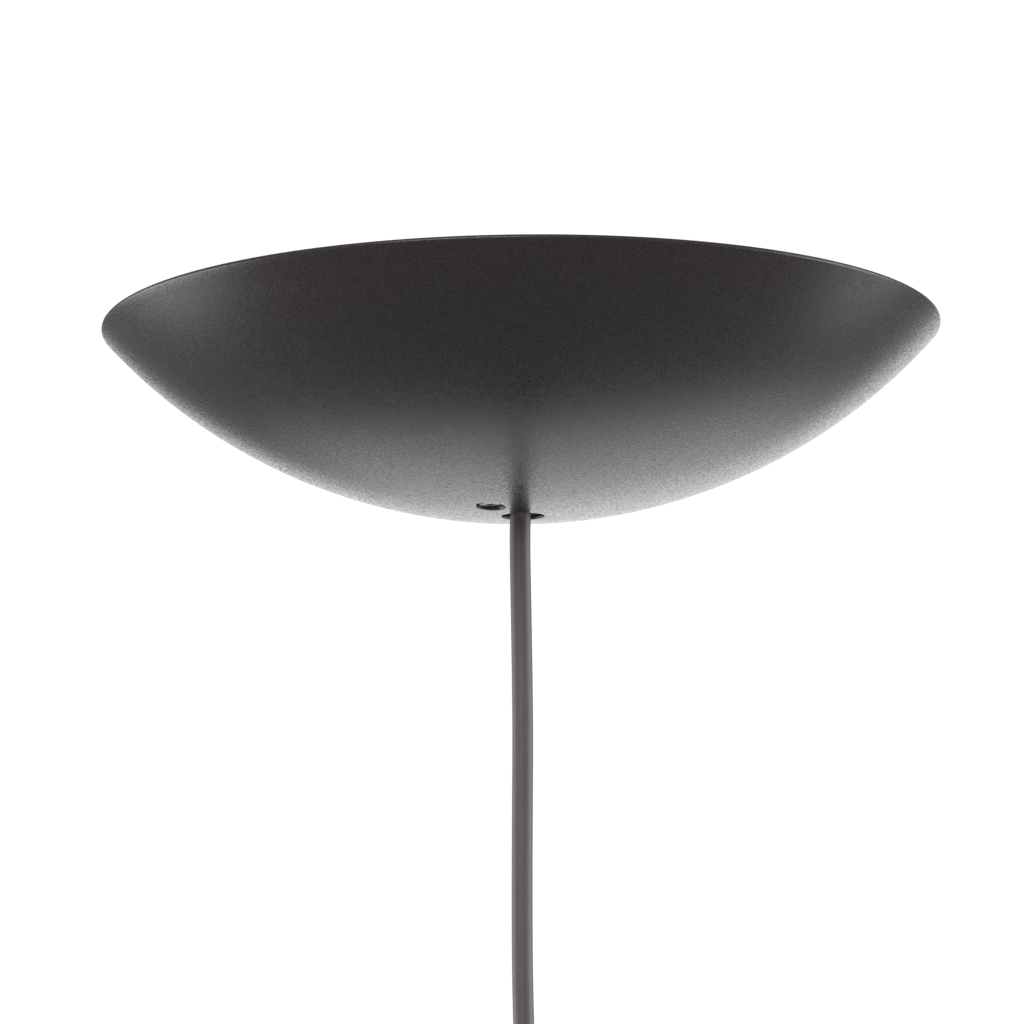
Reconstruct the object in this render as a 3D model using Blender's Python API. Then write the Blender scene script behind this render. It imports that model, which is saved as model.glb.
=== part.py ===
"""Pendant lamp suspension: a shallow domed ceiling canopy, its steel bracket and
terminals, the hanging flex and the lampholder on its end.

Metres, +Z up. The origin is on the ceiling, on the canopy's axis, so the whole
lamp hangs below z = 0. The flex passes down the canopy's centre hole, and the
canopy slides down the flex once its fixing screw is out.
"""
import math

import bmesh
import bpy
import numpy as np
from mathutils import Matrix, Vector

# ---------------------------------------------------------------- fits
GAP = 0.0003                 # air between two pieces that seat on each other
RUNNING = 0.0004             # radial air of a screw or nut that turns in its hole

# ---------------------------------------------------------------- canopy
CANOPY_RADIUS = 0.120
CANOPY_DEPTH = 0.054
CANOPY_SHEET = 0.0015
CEILING_SHADOW_GAP = 0.0005  # the rim stops this far below the ceiling
CORD_HOLE_RADIUS = 0.006
FIXING_RADIUS = 0.016        # the fixing screw's distance from the axis
FIXING_ANGLE = math.radians(235)

# ---------------------------------------------------------------- M4 fixing screw
HEAD_RADIUS = 0.0036
HEAD_HEIGHT = 0.0024
HEAD_ROUND = 0.0006          # radius at the edge of a pan head
HEAD_SUNK = 0.0006           # the head's face below the dome's surface
RECESS_AIR = 0.0005          # radial air between the head and its recess
M4_RADIUS = 0.00195
WASHER_THICKNESS = 0.0006
SCREW_STANDOUT = 0.0010      # thread showing past the clinch nut
CROSS_WIDTH = 0.0009
CROSS_LENGTH = 0.0040
CROSS_DEPTH = 0.0014
TIP_CHAMFER = 0.0005
SLOT_CUT = 0.0008            # width of a pan-head screw's slot

# ---------------------------------------------------------------- steelwork
PLATE_THICKNESS = 0.0015
PLATE_LENGTH = 0.144
STRAP_WIDTH = 0.036
SLOT_OFFSET = 0.0640
SLOT_LENGTH = 0.010
SLOT_WIDTH = 0.005
WIRE_HOLE_OFFSET = 0.024
WIRE_HOLE_RADIUS = 0.008
YOKE_THICKNESS = 0.0015
YOKE_HALF_SPAN = 0.046       # centre of each leg
WEB_CLEARANCE = 0.0150       # from the web's underside down to the canopy's inner skin
YOKE_FLANGE = 0.0115
YOKE_BEND = 0.0015
NUT_FLANGE_RADIUS = 0.0050
NUT_FLANGE_HEIGHT = 0.0026
NUT_SPIGOT_RADIUS = 0.0034

# ---------------------------------------------------------------- flex and gland
FLEX_RADIUS = 0.0030
CORE_RADIUS = 0.0011
CORE_SPACING = 0.0013
GLAND_STEM_RADIUS = 0.0050
GLAND_THREAD_RADIUS = 0.0056
GLAND_FLATS = 0.0075         # half the width across flats
GLAND_FLANGE = 0.0035
GLAND_THREAD = 0.0070
LOCKNUT_HEIGHT = 0.0026
STEM_STANDOUT = 0.0011
SEAL_HEIGHT = 0.0034
CAP_NUT_ROOF = 0.0017
FLEX_STANDOUT = 0.0012       # sheath showing above the cap nut

# ---------------------------------------------------------------- terminals
BLOCK_X = 0.028
BLOCK_LENGTH = 0.016
BLOCK_HALF_WIDTH = 0.010
BLOCK_HEIGHT = 0.013
BLOCK_EAR = 0.007
BLOCK_EAR_HEIGHT = 0.003
POLE_OFFSET = 0.0055
POLE_HEIGHT = 0.0062         # a terminal tube's axis above the block's foot
TUBE_RADIUS = 0.0023
TUBE_BORE = 0.0015
TUBE_LENGTH = 0.0130
CLAMP_SCREW_RADIUS = 0.0014
CLAMP_SCREW_OFFSET = 0.0040
CLAMP_SCREW_SUNK = 0.0012
CLAMP_SLOT = 0.0006
CLAMP_SLOT_DEPTH = 0.0006
BLOCK_GROOVE = 0.001         # half the width of the groove between the poles
PLATE_CORNER = 0.005
M3_RADIUS = 0.00145
M3_HEAD_RADIUS = 0.0027
M3_HEAD_HEIGHT = 0.0020
EARTH_X = -0.028
EARTH_WASHER_RADIUS = 0.0045
EARTH_WASHER_THICKNESS = 0.0010

# ---------------------------------------------------------------- lampholder
HOLDER_X = -0.0012
HOLDER_TOP = -0.2065
HOLDER_RADIUS = 0.0210
HOLDER_WALL = 0.0022
NECK_RADIUS = 0.0080
NECK_HEIGHT = 0.0090
CAP_SHOULDER = 0.0260        # from the top to where the cap is full width
CAP_HEIGHT = 0.0400
CAP_ROOF = 0.0120            # solid depth of the neck, gripping the flex
CAP_HOLLOW = 0.0068          # the hollow's shoulder above the cap's full width
CAP_THROAT = 0.0020          # depth of the hollow's narrow top
FLEX_INTO_CAP = 0.0015       # the flex's end below the neck
GRIP_SLOT = 0.0007
GRIP_SLOT_DEPTH = 0.0008
SPIGOT_HEIGHT = 0.0100
COLLAR_HEIGHT = 0.0040
SKIRT_RADIUS = 0.0194
SKIRT_LENGTH = 0.0340
SKIRT_WALL = 0.0024
INSERT_HEIGHT = 0.0070
INSERT_STEP = 0.0010         # the insert's top below the spigot's top
LEDGE_RADIUS = 0.0146
LEDGE_HEIGHT = 0.0020
SHELL_RADIUS = 0.0139
SHELL_SHEET = 0.0005
SHELL_LENGTH = 0.0280
SHELL_MOUTH = 0.0080
CONTACT_SCREW_OFFSET = 0.0090
CONTACT_STRIP = 0.0005
CONTACT_STRIP_WIDTH = 0.006
CONTACT_SPRING = 0.0037
RING_RADIUS = 0.0275
RING_HEIGHT = 0.0060
SHADE_ROOM = 0.0025          # room for a shade between the collar and the washer
SHADE_WASHER_THICKNESS = 0.0008
SHADE_WASHER_RADIUS = 0.0250
RING_RIBS = 20
RING_RIB_DEPTH = 0.0006

# ---------------------------------------------------------------- worked out
YOKE_DROP = CEILING_SHADOW_GAP + CANOPY_DEPTH - CANOPY_SHEET - WEB_CLEARANCE
RIM_MIDDLE = CANOPY_RADIUS - CANOPY_SHEET / 2
BOWL_DEPTH = CANOPY_DEPTH - CANOPY_SHEET
SPHERE_RADIUS = (RIM_MIDDLE ** 2 + BOWL_DEPTH ** 2) / (2 * BOWL_DEPTH) + CANOPY_SHEET / 2
SPHERE_CENTRE = -CEILING_SHADOW_GAP - CANOPY_DEPTH + SPHERE_RADIUS
FIXING_X = FIXING_RADIUS * math.cos(FIXING_ANGLE)
FIXING_Y = FIXING_RADIUS * math.sin(FIXING_ANGLE)
RECESS_RADIUS = HEAD_RADIUS + RECESS_AIR
WEB_TOP = -YOKE_DROP + YOKE_THICKNESS
SEAT = WEB_TOP + GAP         # what stands on the web starts here
LEG_X = YOKE_HALF_SPAN
YOKE_SCREW_X = LEG_X + YOKE_THICKNESS / 2 + YOKE_FLANGE / 2
GLAND_THREAD_TOP = SEAT + GLAND_FLANGE + GLAND_THREAD
SEAL_TOP = GLAND_THREAD_TOP + GAP + SEAL_HEIGHT
CAP_NUT_TOP = SEAL_TOP + GAP + CAP_NUT_ROOF
FLEX_TOP = CAP_NUT_TOP + FLEX_STANDOUT
FLEX_BORE = FLEX_RADIUS + GAP
POLE_Z = SEAT + POLE_HEIGHT
BODY_TOP = HOLDER_TOP - CAP_HEIGHT + SPIGOT_HEIGHT
COLLAR_TOP = HOLDER_TOP - CAP_HEIGHT - GAP
SKIRT_TOP = COLLAR_TOP - COLLAR_HEIGHT
RING_TOP = SKIRT_TOP - SHADE_ROOM - SHADE_WASHER_THICKNESS - GAP
INSERT_TOP = BODY_TOP - INSERT_STEP
INSERT_BOTTOM = INSERT_TOP - INSERT_HEIGHT
FLEX_END = HOLDER_TOP - CAP_ROOF - FLEX_INTO_CAP


# ---------------------------------------------------------------- tools
def clear_scene():
    for old in list(bpy.data.objects):
        bpy.data.objects.remove(old, do_unlink=True)


def make_material(name, rgb, roughness, metallic=0.0):
    """A Principled material with the piece's colour."""
    mat = bpy.data.materials.new(name)
    mat.use_nodes = True
    shader = mat.node_tree.nodes["Principled BSDF"]
    shader.inputs["Base Color"].default_value = (*rgb, 1.0)
    shader.inputs["Roughness"].default_value = roughness
    shader.inputs["Metallic"].default_value = metallic
    return mat


def add_object(name, bm, mat, location=(0, 0, 0), smooth=True):
    """Close a bmesh into a named object, shaded smooth away from its corners."""
    bmesh.ops.recalc_face_normals(bm, faces=bm.faces)
    mesh = bpy.data.meshes.new(name)
    bm.to_mesh(mesh)
    bm.free()
    if smooth:
        mesh.shade_smooth()
        mesh.set_sharp_from_angle(angle=math.radians(35))
    obj = bpy.data.objects.new(name, mesh)
    obj.location = location
    if mat is not None:
        mesh.materials.append(mat)
    bpy.context.scene.collection.objects.link(obj)
    return obj


def turned(profile, steps=40):
    """Turn a closed outline of (radius, height) points about Z. Flat ends stay one face."""
    bm = bmesh.new()
    turns = [2 * math.pi * i / steps for i in range(steps)]
    rings = []
    for radius, height in profile:
        if radius > 0.0:
            rings.append([bm.verts.new((radius * math.cos(a), radius * math.sin(a), height))
                          for a in turns])
    closed = all(radius > 0.0 for radius, _ in profile)
    for k, ring in enumerate(rings if closed else rings[:-1]):
        upper = rings[(k + 1) % len(rings)]
        for i in range(steps):
            j = (i + 1) % steps
            bm.faces.new((ring[i], ring[j], upper[j], upper[i]))
    if not closed:
        bm.faces.new(rings[0])
        bm.faces.new(rings[-1])
    return bm


def extruded(outline, axis, low, high):
    """Extrude a flat outline along X, Y or Z. The outline's points are the other two axes."""
    bm = bmesh.new()
    place = {"X": lambda p, q, h: (h, p, q),
             "Y": lambda p, q, h: (p, h, q),
             "Z": lambda p, q, h: (p, q, h)}[axis]
    ends = [[bm.verts.new(place(p, q, h)) for p, q in outline] for h in (low, high)]
    bm.faces.new(ends[0])
    bm.faces.new(ends[1])
    for i in range(len(outline)):
        j = (i + 1) % len(outline)
        bm.faces.new((ends[0][i], ends[0][j], ends[1][j], ends[1][i]))
    return bm


def rod(radius, length, axis="Z", steps=16):
    """A round bar from the origin along an axis."""
    bm = turned([(0.0, 0.0), (radius, 0.0), (radius, length), (0.0, length)], steps)
    turn = {"X": Matrix.Rotation(math.radians(90), 4, "Y"), "Z": Matrix.Identity(4)}[axis]
    bm.transform(turn)
    return bm


def block(size, centre=(0, 0, 0)):
    """A plain box of a given size about a centre."""
    bm = bmesh.new()
    bmesh.ops.create_cube(bm, size=1.0)
    bm.transform(Matrix.Translation(centre) @ Matrix.Diagonal((*size, 1.0)))
    return bm


def arc(centre, radius, start, end, count):
    """Points on an arc, angles in degrees."""
    angles = np.radians(np.linspace(start, end, count))
    return [(centre[0] + radius * math.cos(a), centre[1] + radius * math.sin(a)) for a in angles]


def combine(obj, bm, operation, location=(0, 0, 0)):
    """Cut a shape out of an object, or join it on, with an exact Boolean."""
    tool = add_object(f"{obj.name}_tool_{len(obj.modifiers)}", bm, None, location, smooth=False)
    tool.hide_render = True
    tool.display_type = "WIRE"
    modifier = obj.modifiers.new(operation.title(), "BOOLEAN")
    modifier.operation = operation
    modifier.solver = "EXACT"
    modifier.object = tool


def smooth_route(points, count):
    """A natural cubic spline through route points, sampled evenly by length."""
    pts = np.array(points, dtype=float)
    knots = np.concatenate([[0.0], np.cumsum(np.linalg.norm(np.diff(pts, axis=0), axis=1))])
    gaps = np.diff(knots)
    n = len(pts)
    matrix = np.eye(n)
    right = np.zeros((n, 3))
    for i in range(1, n - 1):
        matrix[i, i - 1:i + 2] = gaps[i - 1], 2 * (gaps[i - 1] + gaps[i]), gaps[i]
        slopes = (pts[i + 1] - pts[i]) / gaps[i] - (pts[i] - pts[i - 1]) / gaps[i - 1]
        right[i] = 6 * slopes
    bend = np.linalg.solve(matrix, right)

    def at(s):
        i = min(max(int(np.searchsorted(knots, s)) - 1, 0), n - 2)
        h = gaps[i]
        a = (knots[i + 1] - s) / h
        b = (s - knots[i]) / h
        curve = ((a ** 3 - a) * bend[i] + (b ** 3 - b) * bend[i + 1]) * h * h / 6
        return a * pts[i] + b * pts[i + 1] + curve

    fine = np.array([at(s) for s in np.linspace(0.0, knots[-1], 400)])
    length = np.concatenate([[0.0], np.cumsum(np.linalg.norm(np.diff(fine, axis=0), axis=1))])
    even = np.linspace(0.0, length[-1], count)
    return [tuple(np.interp(s, length, fine[:, k]) for k in range(3)) for s in even]


def cord(name, route, radius, mat, count, sides=2):
    """A round lead along a route: a curve with a bevel and filled ends."""
    curve = bpy.data.curves.new(name, "CURVE")
    curve.dimensions = "3D"
    curve.bevel_depth = radius
    curve.bevel_resolution = sides
    curve.use_fill_caps = True
    spline = curve.splines.new("POLY")
    points = smooth_route(route, count)
    spline.points.add(len(points) - 1)
    for knot, point in zip(spline.points, points):
        knot.co = (*point, 1.0)
        knot.radius = 1.0
    curve.materials.append(mat)
    obj = bpy.data.objects.new(name, curve)
    bpy.context.scene.collection.objects.link(obj)
    return obj


def hexagon(half_flats):
    """A hexagon's corners, with flats facing +Y and -Y."""
    reach = half_flats / math.cos(math.radians(30))
    return arc((0, 0), reach, 0, 300, 6)


def slot_outline(length, width):
    """A slot with round ends, its length along Y."""
    radius = width / 2
    straight = length / 2 - radius
    return arc((0, straight), radius, 0, 180, 7) + arc((0, -straight), radius, 180, 360, 7)


def cross_outline(length, width):
    """A cross recess's outline, turned a little from the axes."""
    reach, side = length / 2, width / 2
    arm = [(side, side), (side, reach), (-side, reach)]
    turn = math.radians(20)
    outline = []
    for quarter in range(4):
        a = turn + quarter * math.pi / 2
        outline += [(x * math.cos(a) - y * math.sin(a), x * math.sin(a) + y * math.cos(a))
                    for x, y in arm]
    return outline


def folded_strip(corners, thickness, inner_radius, count=3):
    """Outline of a folded strap: a centre line of corners with round bends."""
    middle = inner_radius + thickness / 2
    path = [Vector(c) for c in corners]
    line = [(path[0], (path[1] - path[0]).normalized())]
    for before, corner, after in zip(path, path[1:], path[2:]):
        arrive = (corner - before).normalized()
        leave = (after - corner).normalized()
        turn = arrive.angle_signed(leave)
        reach = middle * math.tan(abs(turn) / 2)
        side = -1 if turn > 0 else 1
        inward = Vector((-arrive.y, arrive.x)) * side
        pivot = corner - arrive * reach + inward * middle
        for i in range(count + 1):
            spin = Matrix.Rotation(-turn * i / count, 2)
            line.append((pivot - spin @ inward * middle, spin @ arrive))
    line.append((path[-1], (path[-1] - path[-2]).normalized()))
    sides = []
    for sign in (1, -1):
        sides.append([tuple(p + Vector((-d.y, d.x)) * sign * thickness / 2) for p, d in line])
    return sides[0] + sides[1][::-1]


def dome_height(radius, inset=0.0):
    """Height of the canopy's outer skin, or of a skin inset from it, at a radius."""
    return SPHERE_CENTRE - math.sqrt((SPHERE_RADIUS - inset) ** 2 - radius ** 2)


# ---------------------------------------------------------------- pieces
def make_canopy(mat):
    """The spun dome: a spherical cap with a rolled rim, a cord hole and a screw recess."""
    rows = 12
    inner = SPHERE_RADIUS - CANOPY_SHEET
    centre = SPHERE_RADIUS - CANOPY_SHEET / 2
    first = math.asin(CORD_HOLE_RADIUS / SPHERE_RADIUS)
    last = math.asin(RIM_MIDDLE / centre)
    angles = np.linspace(first, last, rows)
    outer_skin = [(SPHERE_RADIUS * math.sin(a), SPHERE_CENTRE - SPHERE_RADIUS * math.cos(a))
                  for a in angles]
    inner_skin = [(inner * math.sin(a), SPHERE_CENTRE - inner * math.cos(a)) for a in angles]
    inner_skin[0] = (CORD_HOLE_RADIUS, inner_skin[0][1])
    middle = (centre * math.sin(last), SPHERE_CENTRE - centre * math.cos(last))
    start = math.degrees(last) - 90
    edge = arc(middle, CANOPY_SHEET / 2, start, start + 180, 5)[1:-1]
    canopy = add_object("canopy", turned(outer_skin + edge + inner_skin[::-1], 64), mat)
    surface = dome_height(FIXING_RADIUS)
    seat = surface + HEAD_SUNK + HEAD_HEIGHT + WASHER_THICKNESS + 2 * GAP
    cup_top = seat + CANOPY_SHEET
    cup_bottom = dome_height(FIXING_RADIUS, CANOPY_SHEET / 2)
    here = (FIXING_X, FIXING_Y, 0)
    cup = rod(RECESS_RADIUS + CANOPY_SHEET, cup_top - cup_bottom)
    combine(canopy, cup, "UNION", (FIXING_X, FIXING_Y, cup_bottom))
    recess_bottom = surface - 2 * CANOPY_SHEET
    combine(canopy, rod(RECESS_RADIUS, seat - recess_bottom), "DIFFERENCE",
            (FIXING_X, FIXING_Y, recess_bottom))
    through = rod(M4_RADIUS + RUNNING, 2 * CANOPY_SHEET)
    combine(canopy, through, "DIFFERENCE", (FIXING_X, FIXING_Y, seat - CANOPY_SHEET / 2))
    return here, seat


def make_fixing_screw(here, seat, paint, nylon):
    """The M4 pan-head screw and the washer under its head."""
    washer = [(M4_RADIUS + GAP, 0.0), (HEAD_RADIUS, 0.0), (HEAD_RADIUS, WASHER_THICKNESS),
              (M4_RADIUS + GAP, WASHER_THICKNESS)]
    washer_z = seat - GAP - WASHER_THICKNESS
    add_object("screw_washer", turned(washer, 24), nylon, (here[0], here[1], washer_z))
    shoulder = washer_z - GAP
    tip = SEAT + NUT_FLANGE_HEIGHT + SCREW_STANDOUT
    head = [(0.0, -HEAD_HEIGHT), (HEAD_RADIUS - HEAD_ROUND, -HEAD_HEIGHT)]
    head += arc((HEAD_RADIUS - HEAD_ROUND, -HEAD_HEIGHT + HEAD_ROUND), HEAD_ROUND, -60, 0, 3)
    shank = tip - shoulder
    head += [(HEAD_RADIUS, 0.0), (M4_RADIUS, 0.0), (M4_RADIUS, shank - TIP_CHAMFER),
             (M4_RADIUS - TIP_CHAMFER, shank), (0.0, shank)]
    screw = add_object("canopy_fixing_screw", turned(head, 24), paint,
                       (here[0], here[1], shoulder))
    floor = CROSS_DEPTH - HEAD_HEIGHT
    cross = extruded(cross_outline(CROSS_LENGTH, CROSS_WIDTH), "Z", -2 * HEAD_HEIGHT, floor)
    combine(screw, cross, "DIFFERENCE", (here[0], here[1], shoulder))


def make_clinch_nut(here, mat):
    """The M4 nut pressed into the yoke's web for the fixing screw."""
    bore = M4_RADIUS + RUNNING
    profile = [(bore, -YOKE_DROP), (NUT_SPIGOT_RADIUS, -YOKE_DROP), (NUT_SPIGOT_RADIUS, SEAT),
               (NUT_FLANGE_RADIUS, SEAT), (NUT_FLANGE_RADIUS, SEAT + NUT_FLANGE_HEIGHT),
               (bore, SEAT + NUT_FLANGE_HEIGHT)]
    add_object("clinch_nut", turned(profile, 20), mat, (here[0], here[1], 0))


def make_ceiling_plate(mat):
    """The flat bar that is screwed to the ceiling through its two slots."""
    half = PLATE_LENGTH / 2
    outline = []
    for sx, sy, start in ((1, 1, 0), (-1, 1, 90), (-1, -1, 180), (1, -1, 270)):
        middle = (sx * (half - PLATE_CORNER), sy * (STRAP_WIDTH / 2 - PLATE_CORNER))
        outline += arc(middle, PLATE_CORNER, start, start + 90, 4)
    plate = add_object("ceiling_plate", extruded(outline, "Z", -PLATE_THICKNESS, 0.0), mat)
    low = -2 * PLATE_THICKNESS
    for side in (-1, 1):
        cut = extruded(slot_outline(SLOT_LENGTH, SLOT_WIDTH), "Z", low, -low)
        combine(plate, cut, "DIFFERENCE", (side * SLOT_OFFSET, 0, 0))
        tapped = rod(M4_RADIUS + RUNNING, -2 * low)
        combine(plate, tapped, "DIFFERENCE", (side * YOKE_SCREW_X, 0, low))
    wires = rod(WIRE_HOLE_RADIUS, -2 * low, steps=24)
    combine(plate, wires, "DIFFERENCE", (-WIRE_HOLE_OFFSET, 0, low))


def make_yoke(here, mat):
    """The folded U strap under the plate, whose web carries everything."""
    top = -PLATE_THICKNESS - GAP - YOKE_THICKNESS / 2
    web = -YOKE_DROP + YOKE_THICKNESS / 2
    reach = LEG_X + YOKE_THICKNESS / 2 + YOKE_FLANGE
    corners = [(-reach, top), (-LEG_X, top), (-LEG_X, web), (LEG_X, web), (LEG_X, top),
               (reach, top)]
    outline = folded_strip(corners, YOKE_THICKNESS, YOKE_BEND)
    half = STRAP_WIDTH / 2
    yoke = add_object("bracket_yoke", extruded(outline, "Y", -half, half), mat)
    low = -YOKE_DROP - YOKE_THICKNESS
    height = 3 * YOKE_THICKNESS
    holes = [((0, 0), GLAND_STEM_RADIUS + RUNNING), (here[:2], NUT_SPIGOT_RADIUS + GAP),
             ((EARTH_X, 0), M4_RADIUS + RUNNING),
             ((BLOCK_X, BLOCK_HALF_WIDTH + BLOCK_EAR / 2), M3_RADIUS + RUNNING)]
    for (x, y), radius in holes:
        combine(yoke, rod(radius, height), "DIFFERENCE", (x, y, low))
    for side in (-1, 1):
        hole = rod(M4_RADIUS + RUNNING, height)
        combine(yoke, hole, "DIFFERENCE", (side * YOKE_SCREW_X, 0, top - height / 2))


def pan_head_screw(name, head_radius, head_height, shank_radius, shank, mat, location, up=1):
    """A pan-head machine screw with a slot. Its shank runs down, or up where up is -1."""
    edge = (head_radius - HEAD_ROUND, head_height - HEAD_ROUND)
    profile = [(0.0, head_height)] + arc(edge, HEAD_ROUND, 90, 0, 3)
    profile += [(head_radius, 0.0), (shank_radius, 0.0), (shank_radius, -shank), (0.0, -shank)]
    profile = [(r, up * z) for r, z in profile]
    screw = add_object(name, turned(profile, 18), mat, location)
    cut = block((3 * head_radius, SLOT_CUT, head_height), (0, 0, up * head_height))
    combine(screw, cut, "DIFFERENCE", location)


def make_yoke_screws(mat):
    """The two M4 screws that hold the yoke up to the plate."""
    seat = -PLATE_THICKNESS - GAP - YOKE_THICKNESS - GAP
    for name, side in (("left", -1), ("right", 1)):
        pan_head_screw(f"yoke_screw_{name}", HEAD_RADIUS, HEAD_HEIGHT, M4_RADIUS,
                       -seat - GAP, mat, (side * YOKE_SCREW_X, 0, seat), up=-1)


def make_earth(mat):
    """The earth screw on the web, with its clamping washer."""
    bore = M4_RADIUS + RUNNING
    top = SEAT + EARTH_WASHER_THICKNESS
    washer = [(bore, SEAT), (EARTH_WASHER_RADIUS, SEAT), (EARTH_WASHER_RADIUS, top), (bore, top)]
    add_object("earth_washer", turned(washer, 20), mat, (EARTH_X, 0, 0))
    shank = top + GAP + YOKE_DROP + EARTH_WASHER_THICKNESS
    pan_head_screw("earth_screw", HEAD_RADIUS, HEAD_HEIGHT, M4_RADIUS, shank, mat,
                   (EARTH_X, 0, top + GAP))


def make_gland(nylon, rubber):
    """The cable gland: body through the web, lock nut under it, seal and cap nut on top."""
    stem_bottom = -YOKE_DROP - GAP - LOCKNUT_HEIGHT - STEM_STANDOUT
    flange_top = SEAT + GLAND_FLANGE
    body = [(FLEX_BORE, stem_bottom), (GLAND_STEM_RADIUS, stem_bottom), (GLAND_STEM_RADIUS, SEAT),
            (GLAND_FLATS, SEAT), (GLAND_FLATS, flange_top), (GLAND_THREAD_RADIUS, flange_top),
            (GLAND_THREAD_RADIUS, GLAND_THREAD_TOP), (FLEX_BORE, GLAND_THREAD_TOP)]
    add_object("gland_body", turned(body, 24), nylon)
    top = -YOKE_DROP - GAP
    nut = extruded(hexagon(GLAND_FLATS), "Z", top - LOCKNUT_HEIGHT, top)
    locknut = add_object("gland_locknut", nut, nylon)
    bore = rod(GLAND_STEM_RADIUS + RUNNING, 3 * LOCKNUT_HEIGHT, steps=24)
    combine(locknut, bore, "DIFFERENCE", (0, 0, top - 2 * LOCKNUT_HEIGHT))
    seal_bottom = GLAND_THREAD_TOP + GAP
    seal = [(FLEX_BORE, seal_bottom), (GLAND_THREAD_RADIUS, seal_bottom),
            (GLAND_THREAD_RADIUS, SEAL_TOP), (FLEX_BORE, SEAL_TOP)]
    add_object("gland_seal", turned(seal, 24), rubber)
    low = flange_top + 2 * GAP
    cap = add_object("gland_cap_nut", extruded(hexagon(GLAND_FLATS), "Z", low, CAP_NUT_TOP), nylon)
    inside = GLAND_THREAD_RADIUS + RUNNING
    shape = [(0.0, low - inside), (inside, low - inside), (inside, SEAL_TOP + GAP),
             (FLEX_BORE, SEAL_TOP + GAP), (FLEX_BORE, CAP_NUT_TOP + inside),
             (0.0, CAP_NUT_TOP + inside)]
    combine(cap, turned(shape, 24), "DIFFERENCE")
    return stem_bottom


def make_terminals(block_mat, brass, steel):
    """The two-pole terminal block with its tubes, clamp screws and fixing screw."""
    half = BLOCK_LENGTH / 2
    top = SEAT + BLOCK_HEIGHT
    ear = SEAT + BLOCK_EAR_HEIGHT
    groove_floor = SEAT + BLOCK_HEIGHT / 2
    side = BLOCK_HALF_WIDTH
    outline = [(-side, SEAT), (side + BLOCK_EAR, SEAT), (side + BLOCK_EAR, ear), (side, ear),
               (side, top), (BLOCK_GROOVE, top), (BLOCK_GROOVE, groove_floor),
               (-BLOCK_GROOVE, groove_floor), (-BLOCK_GROOVE, top), (-side, top)]
    body = add_object("terminal_block", extruded(outline, "X", -half, half), block_mat,
                      (BLOCK_X, 0, 0))
    ear_y = side + BLOCK_EAR / 2
    combine(body, rod(M3_RADIUS + RUNNING, 3 * BLOCK_EAR_HEIGHT), "DIFFERENCE",
            (BLOCK_X, ear_y, SEAT - BLOCK_EAR_HEIGHT))
    pan_head_screw("block_screw", M3_HEAD_RADIUS, M3_HEAD_HEIGHT, M3_RADIUS,
                   ear + GAP + YOKE_DROP + M3_HEAD_HEIGHT / 2, steel,
                   (BLOCK_X, ear_y, ear + GAP))
    for pole, y in (("live", -POLE_OFFSET), ("neutral", POLE_OFFSET)):
        combine(body, rod(TUBE_RADIUS + GAP, 2 * BLOCK_LENGTH, "X"), "DIFFERENCE",
                (BLOCK_X - BLOCK_LENGTH, y, POLE_Z))
        tube = [(TUBE_BORE, -TUBE_LENGTH / 2), (TUBE_RADIUS, -TUBE_LENGTH / 2),
                (TUBE_RADIUS, TUBE_LENGTH / 2), (TUBE_BORE, TUBE_LENGTH / 2)]
        shape = turned(tube, 16)
        shape.transform(Matrix.Rotation(math.radians(90), 4, "Y"))
        pipe = add_object(f"terminal_tube_{pole}", shape, brass, (BLOCK_X, y, POLE_Z))
        for place, x in (("lamp", -CLAMP_SCREW_OFFSET), ("supply", CLAMP_SCREW_OFFSET)):
            well = rod(CLAMP_SCREW_RADIUS + RUNNING, BLOCK_HEIGHT, steps=20)
            combine(body, well, "DIFFERENCE", (BLOCK_X + x, y, POLE_Z))
            hole = rod(CLAMP_SCREW_RADIUS + GAP, 2 * TUBE_RADIUS, steps=20)
            combine(pipe, hole, "DIFFERENCE", (BLOCK_X + x, y, POLE_Z))
            length = top - CLAMP_SCREW_SUNK - (POLE_Z + CORE_RADIUS + GAP)
            bar = add_object(f"clamp_screw_{pole}_{place}", rod(CLAMP_SCREW_RADIUS, length),
                             steel, (BLOCK_X + x, y, POLE_Z + CORE_RADIUS + GAP))
            cut = block((3 * CLAMP_SCREW_RADIUS, CLAMP_SLOT, 2 * CLAMP_SLOT_DEPTH), (0, 0, length))
            combine(bar, cut, "DIFFERENCE", (BLOCK_X + x, y, POLE_Z + CORE_RADIUS + GAP))


def make_cores(brown, blue):
    """The flex's two cores, from its stripped end over into the terminal tubes."""
    start = FLEX_TOP + GAP
    entry = BLOCK_X - BLOCK_LENGTH / 2
    for name, side, mat in (("live_core", -1, brown), ("neutral_core", 1, blue)):
        y0 = side * CORE_SPACING
        y1 = side * POLE_OFFSET
        route = [(0, y0, start), (0.0002, y0, start + 0.0040), (0.0030, y0 * 1.3, start + 0.0085),
                 (0.0080, (y0 + y1) / 2, start + 0.0090),
                 (0.0118, y1 * 0.92, start + 0.0045), (0.0125, y1, start - 0.0030),
                 (0.0140, y1, POLE_Z + 0.0028), (entry - 0.0028, y1, POLE_Z),
                 (entry + 0.0020, y1, POLE_Z), (entry + 0.0060, y1, POLE_Z)]
        cord(name, route, CORE_RADIUS, mat, 16)


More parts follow.
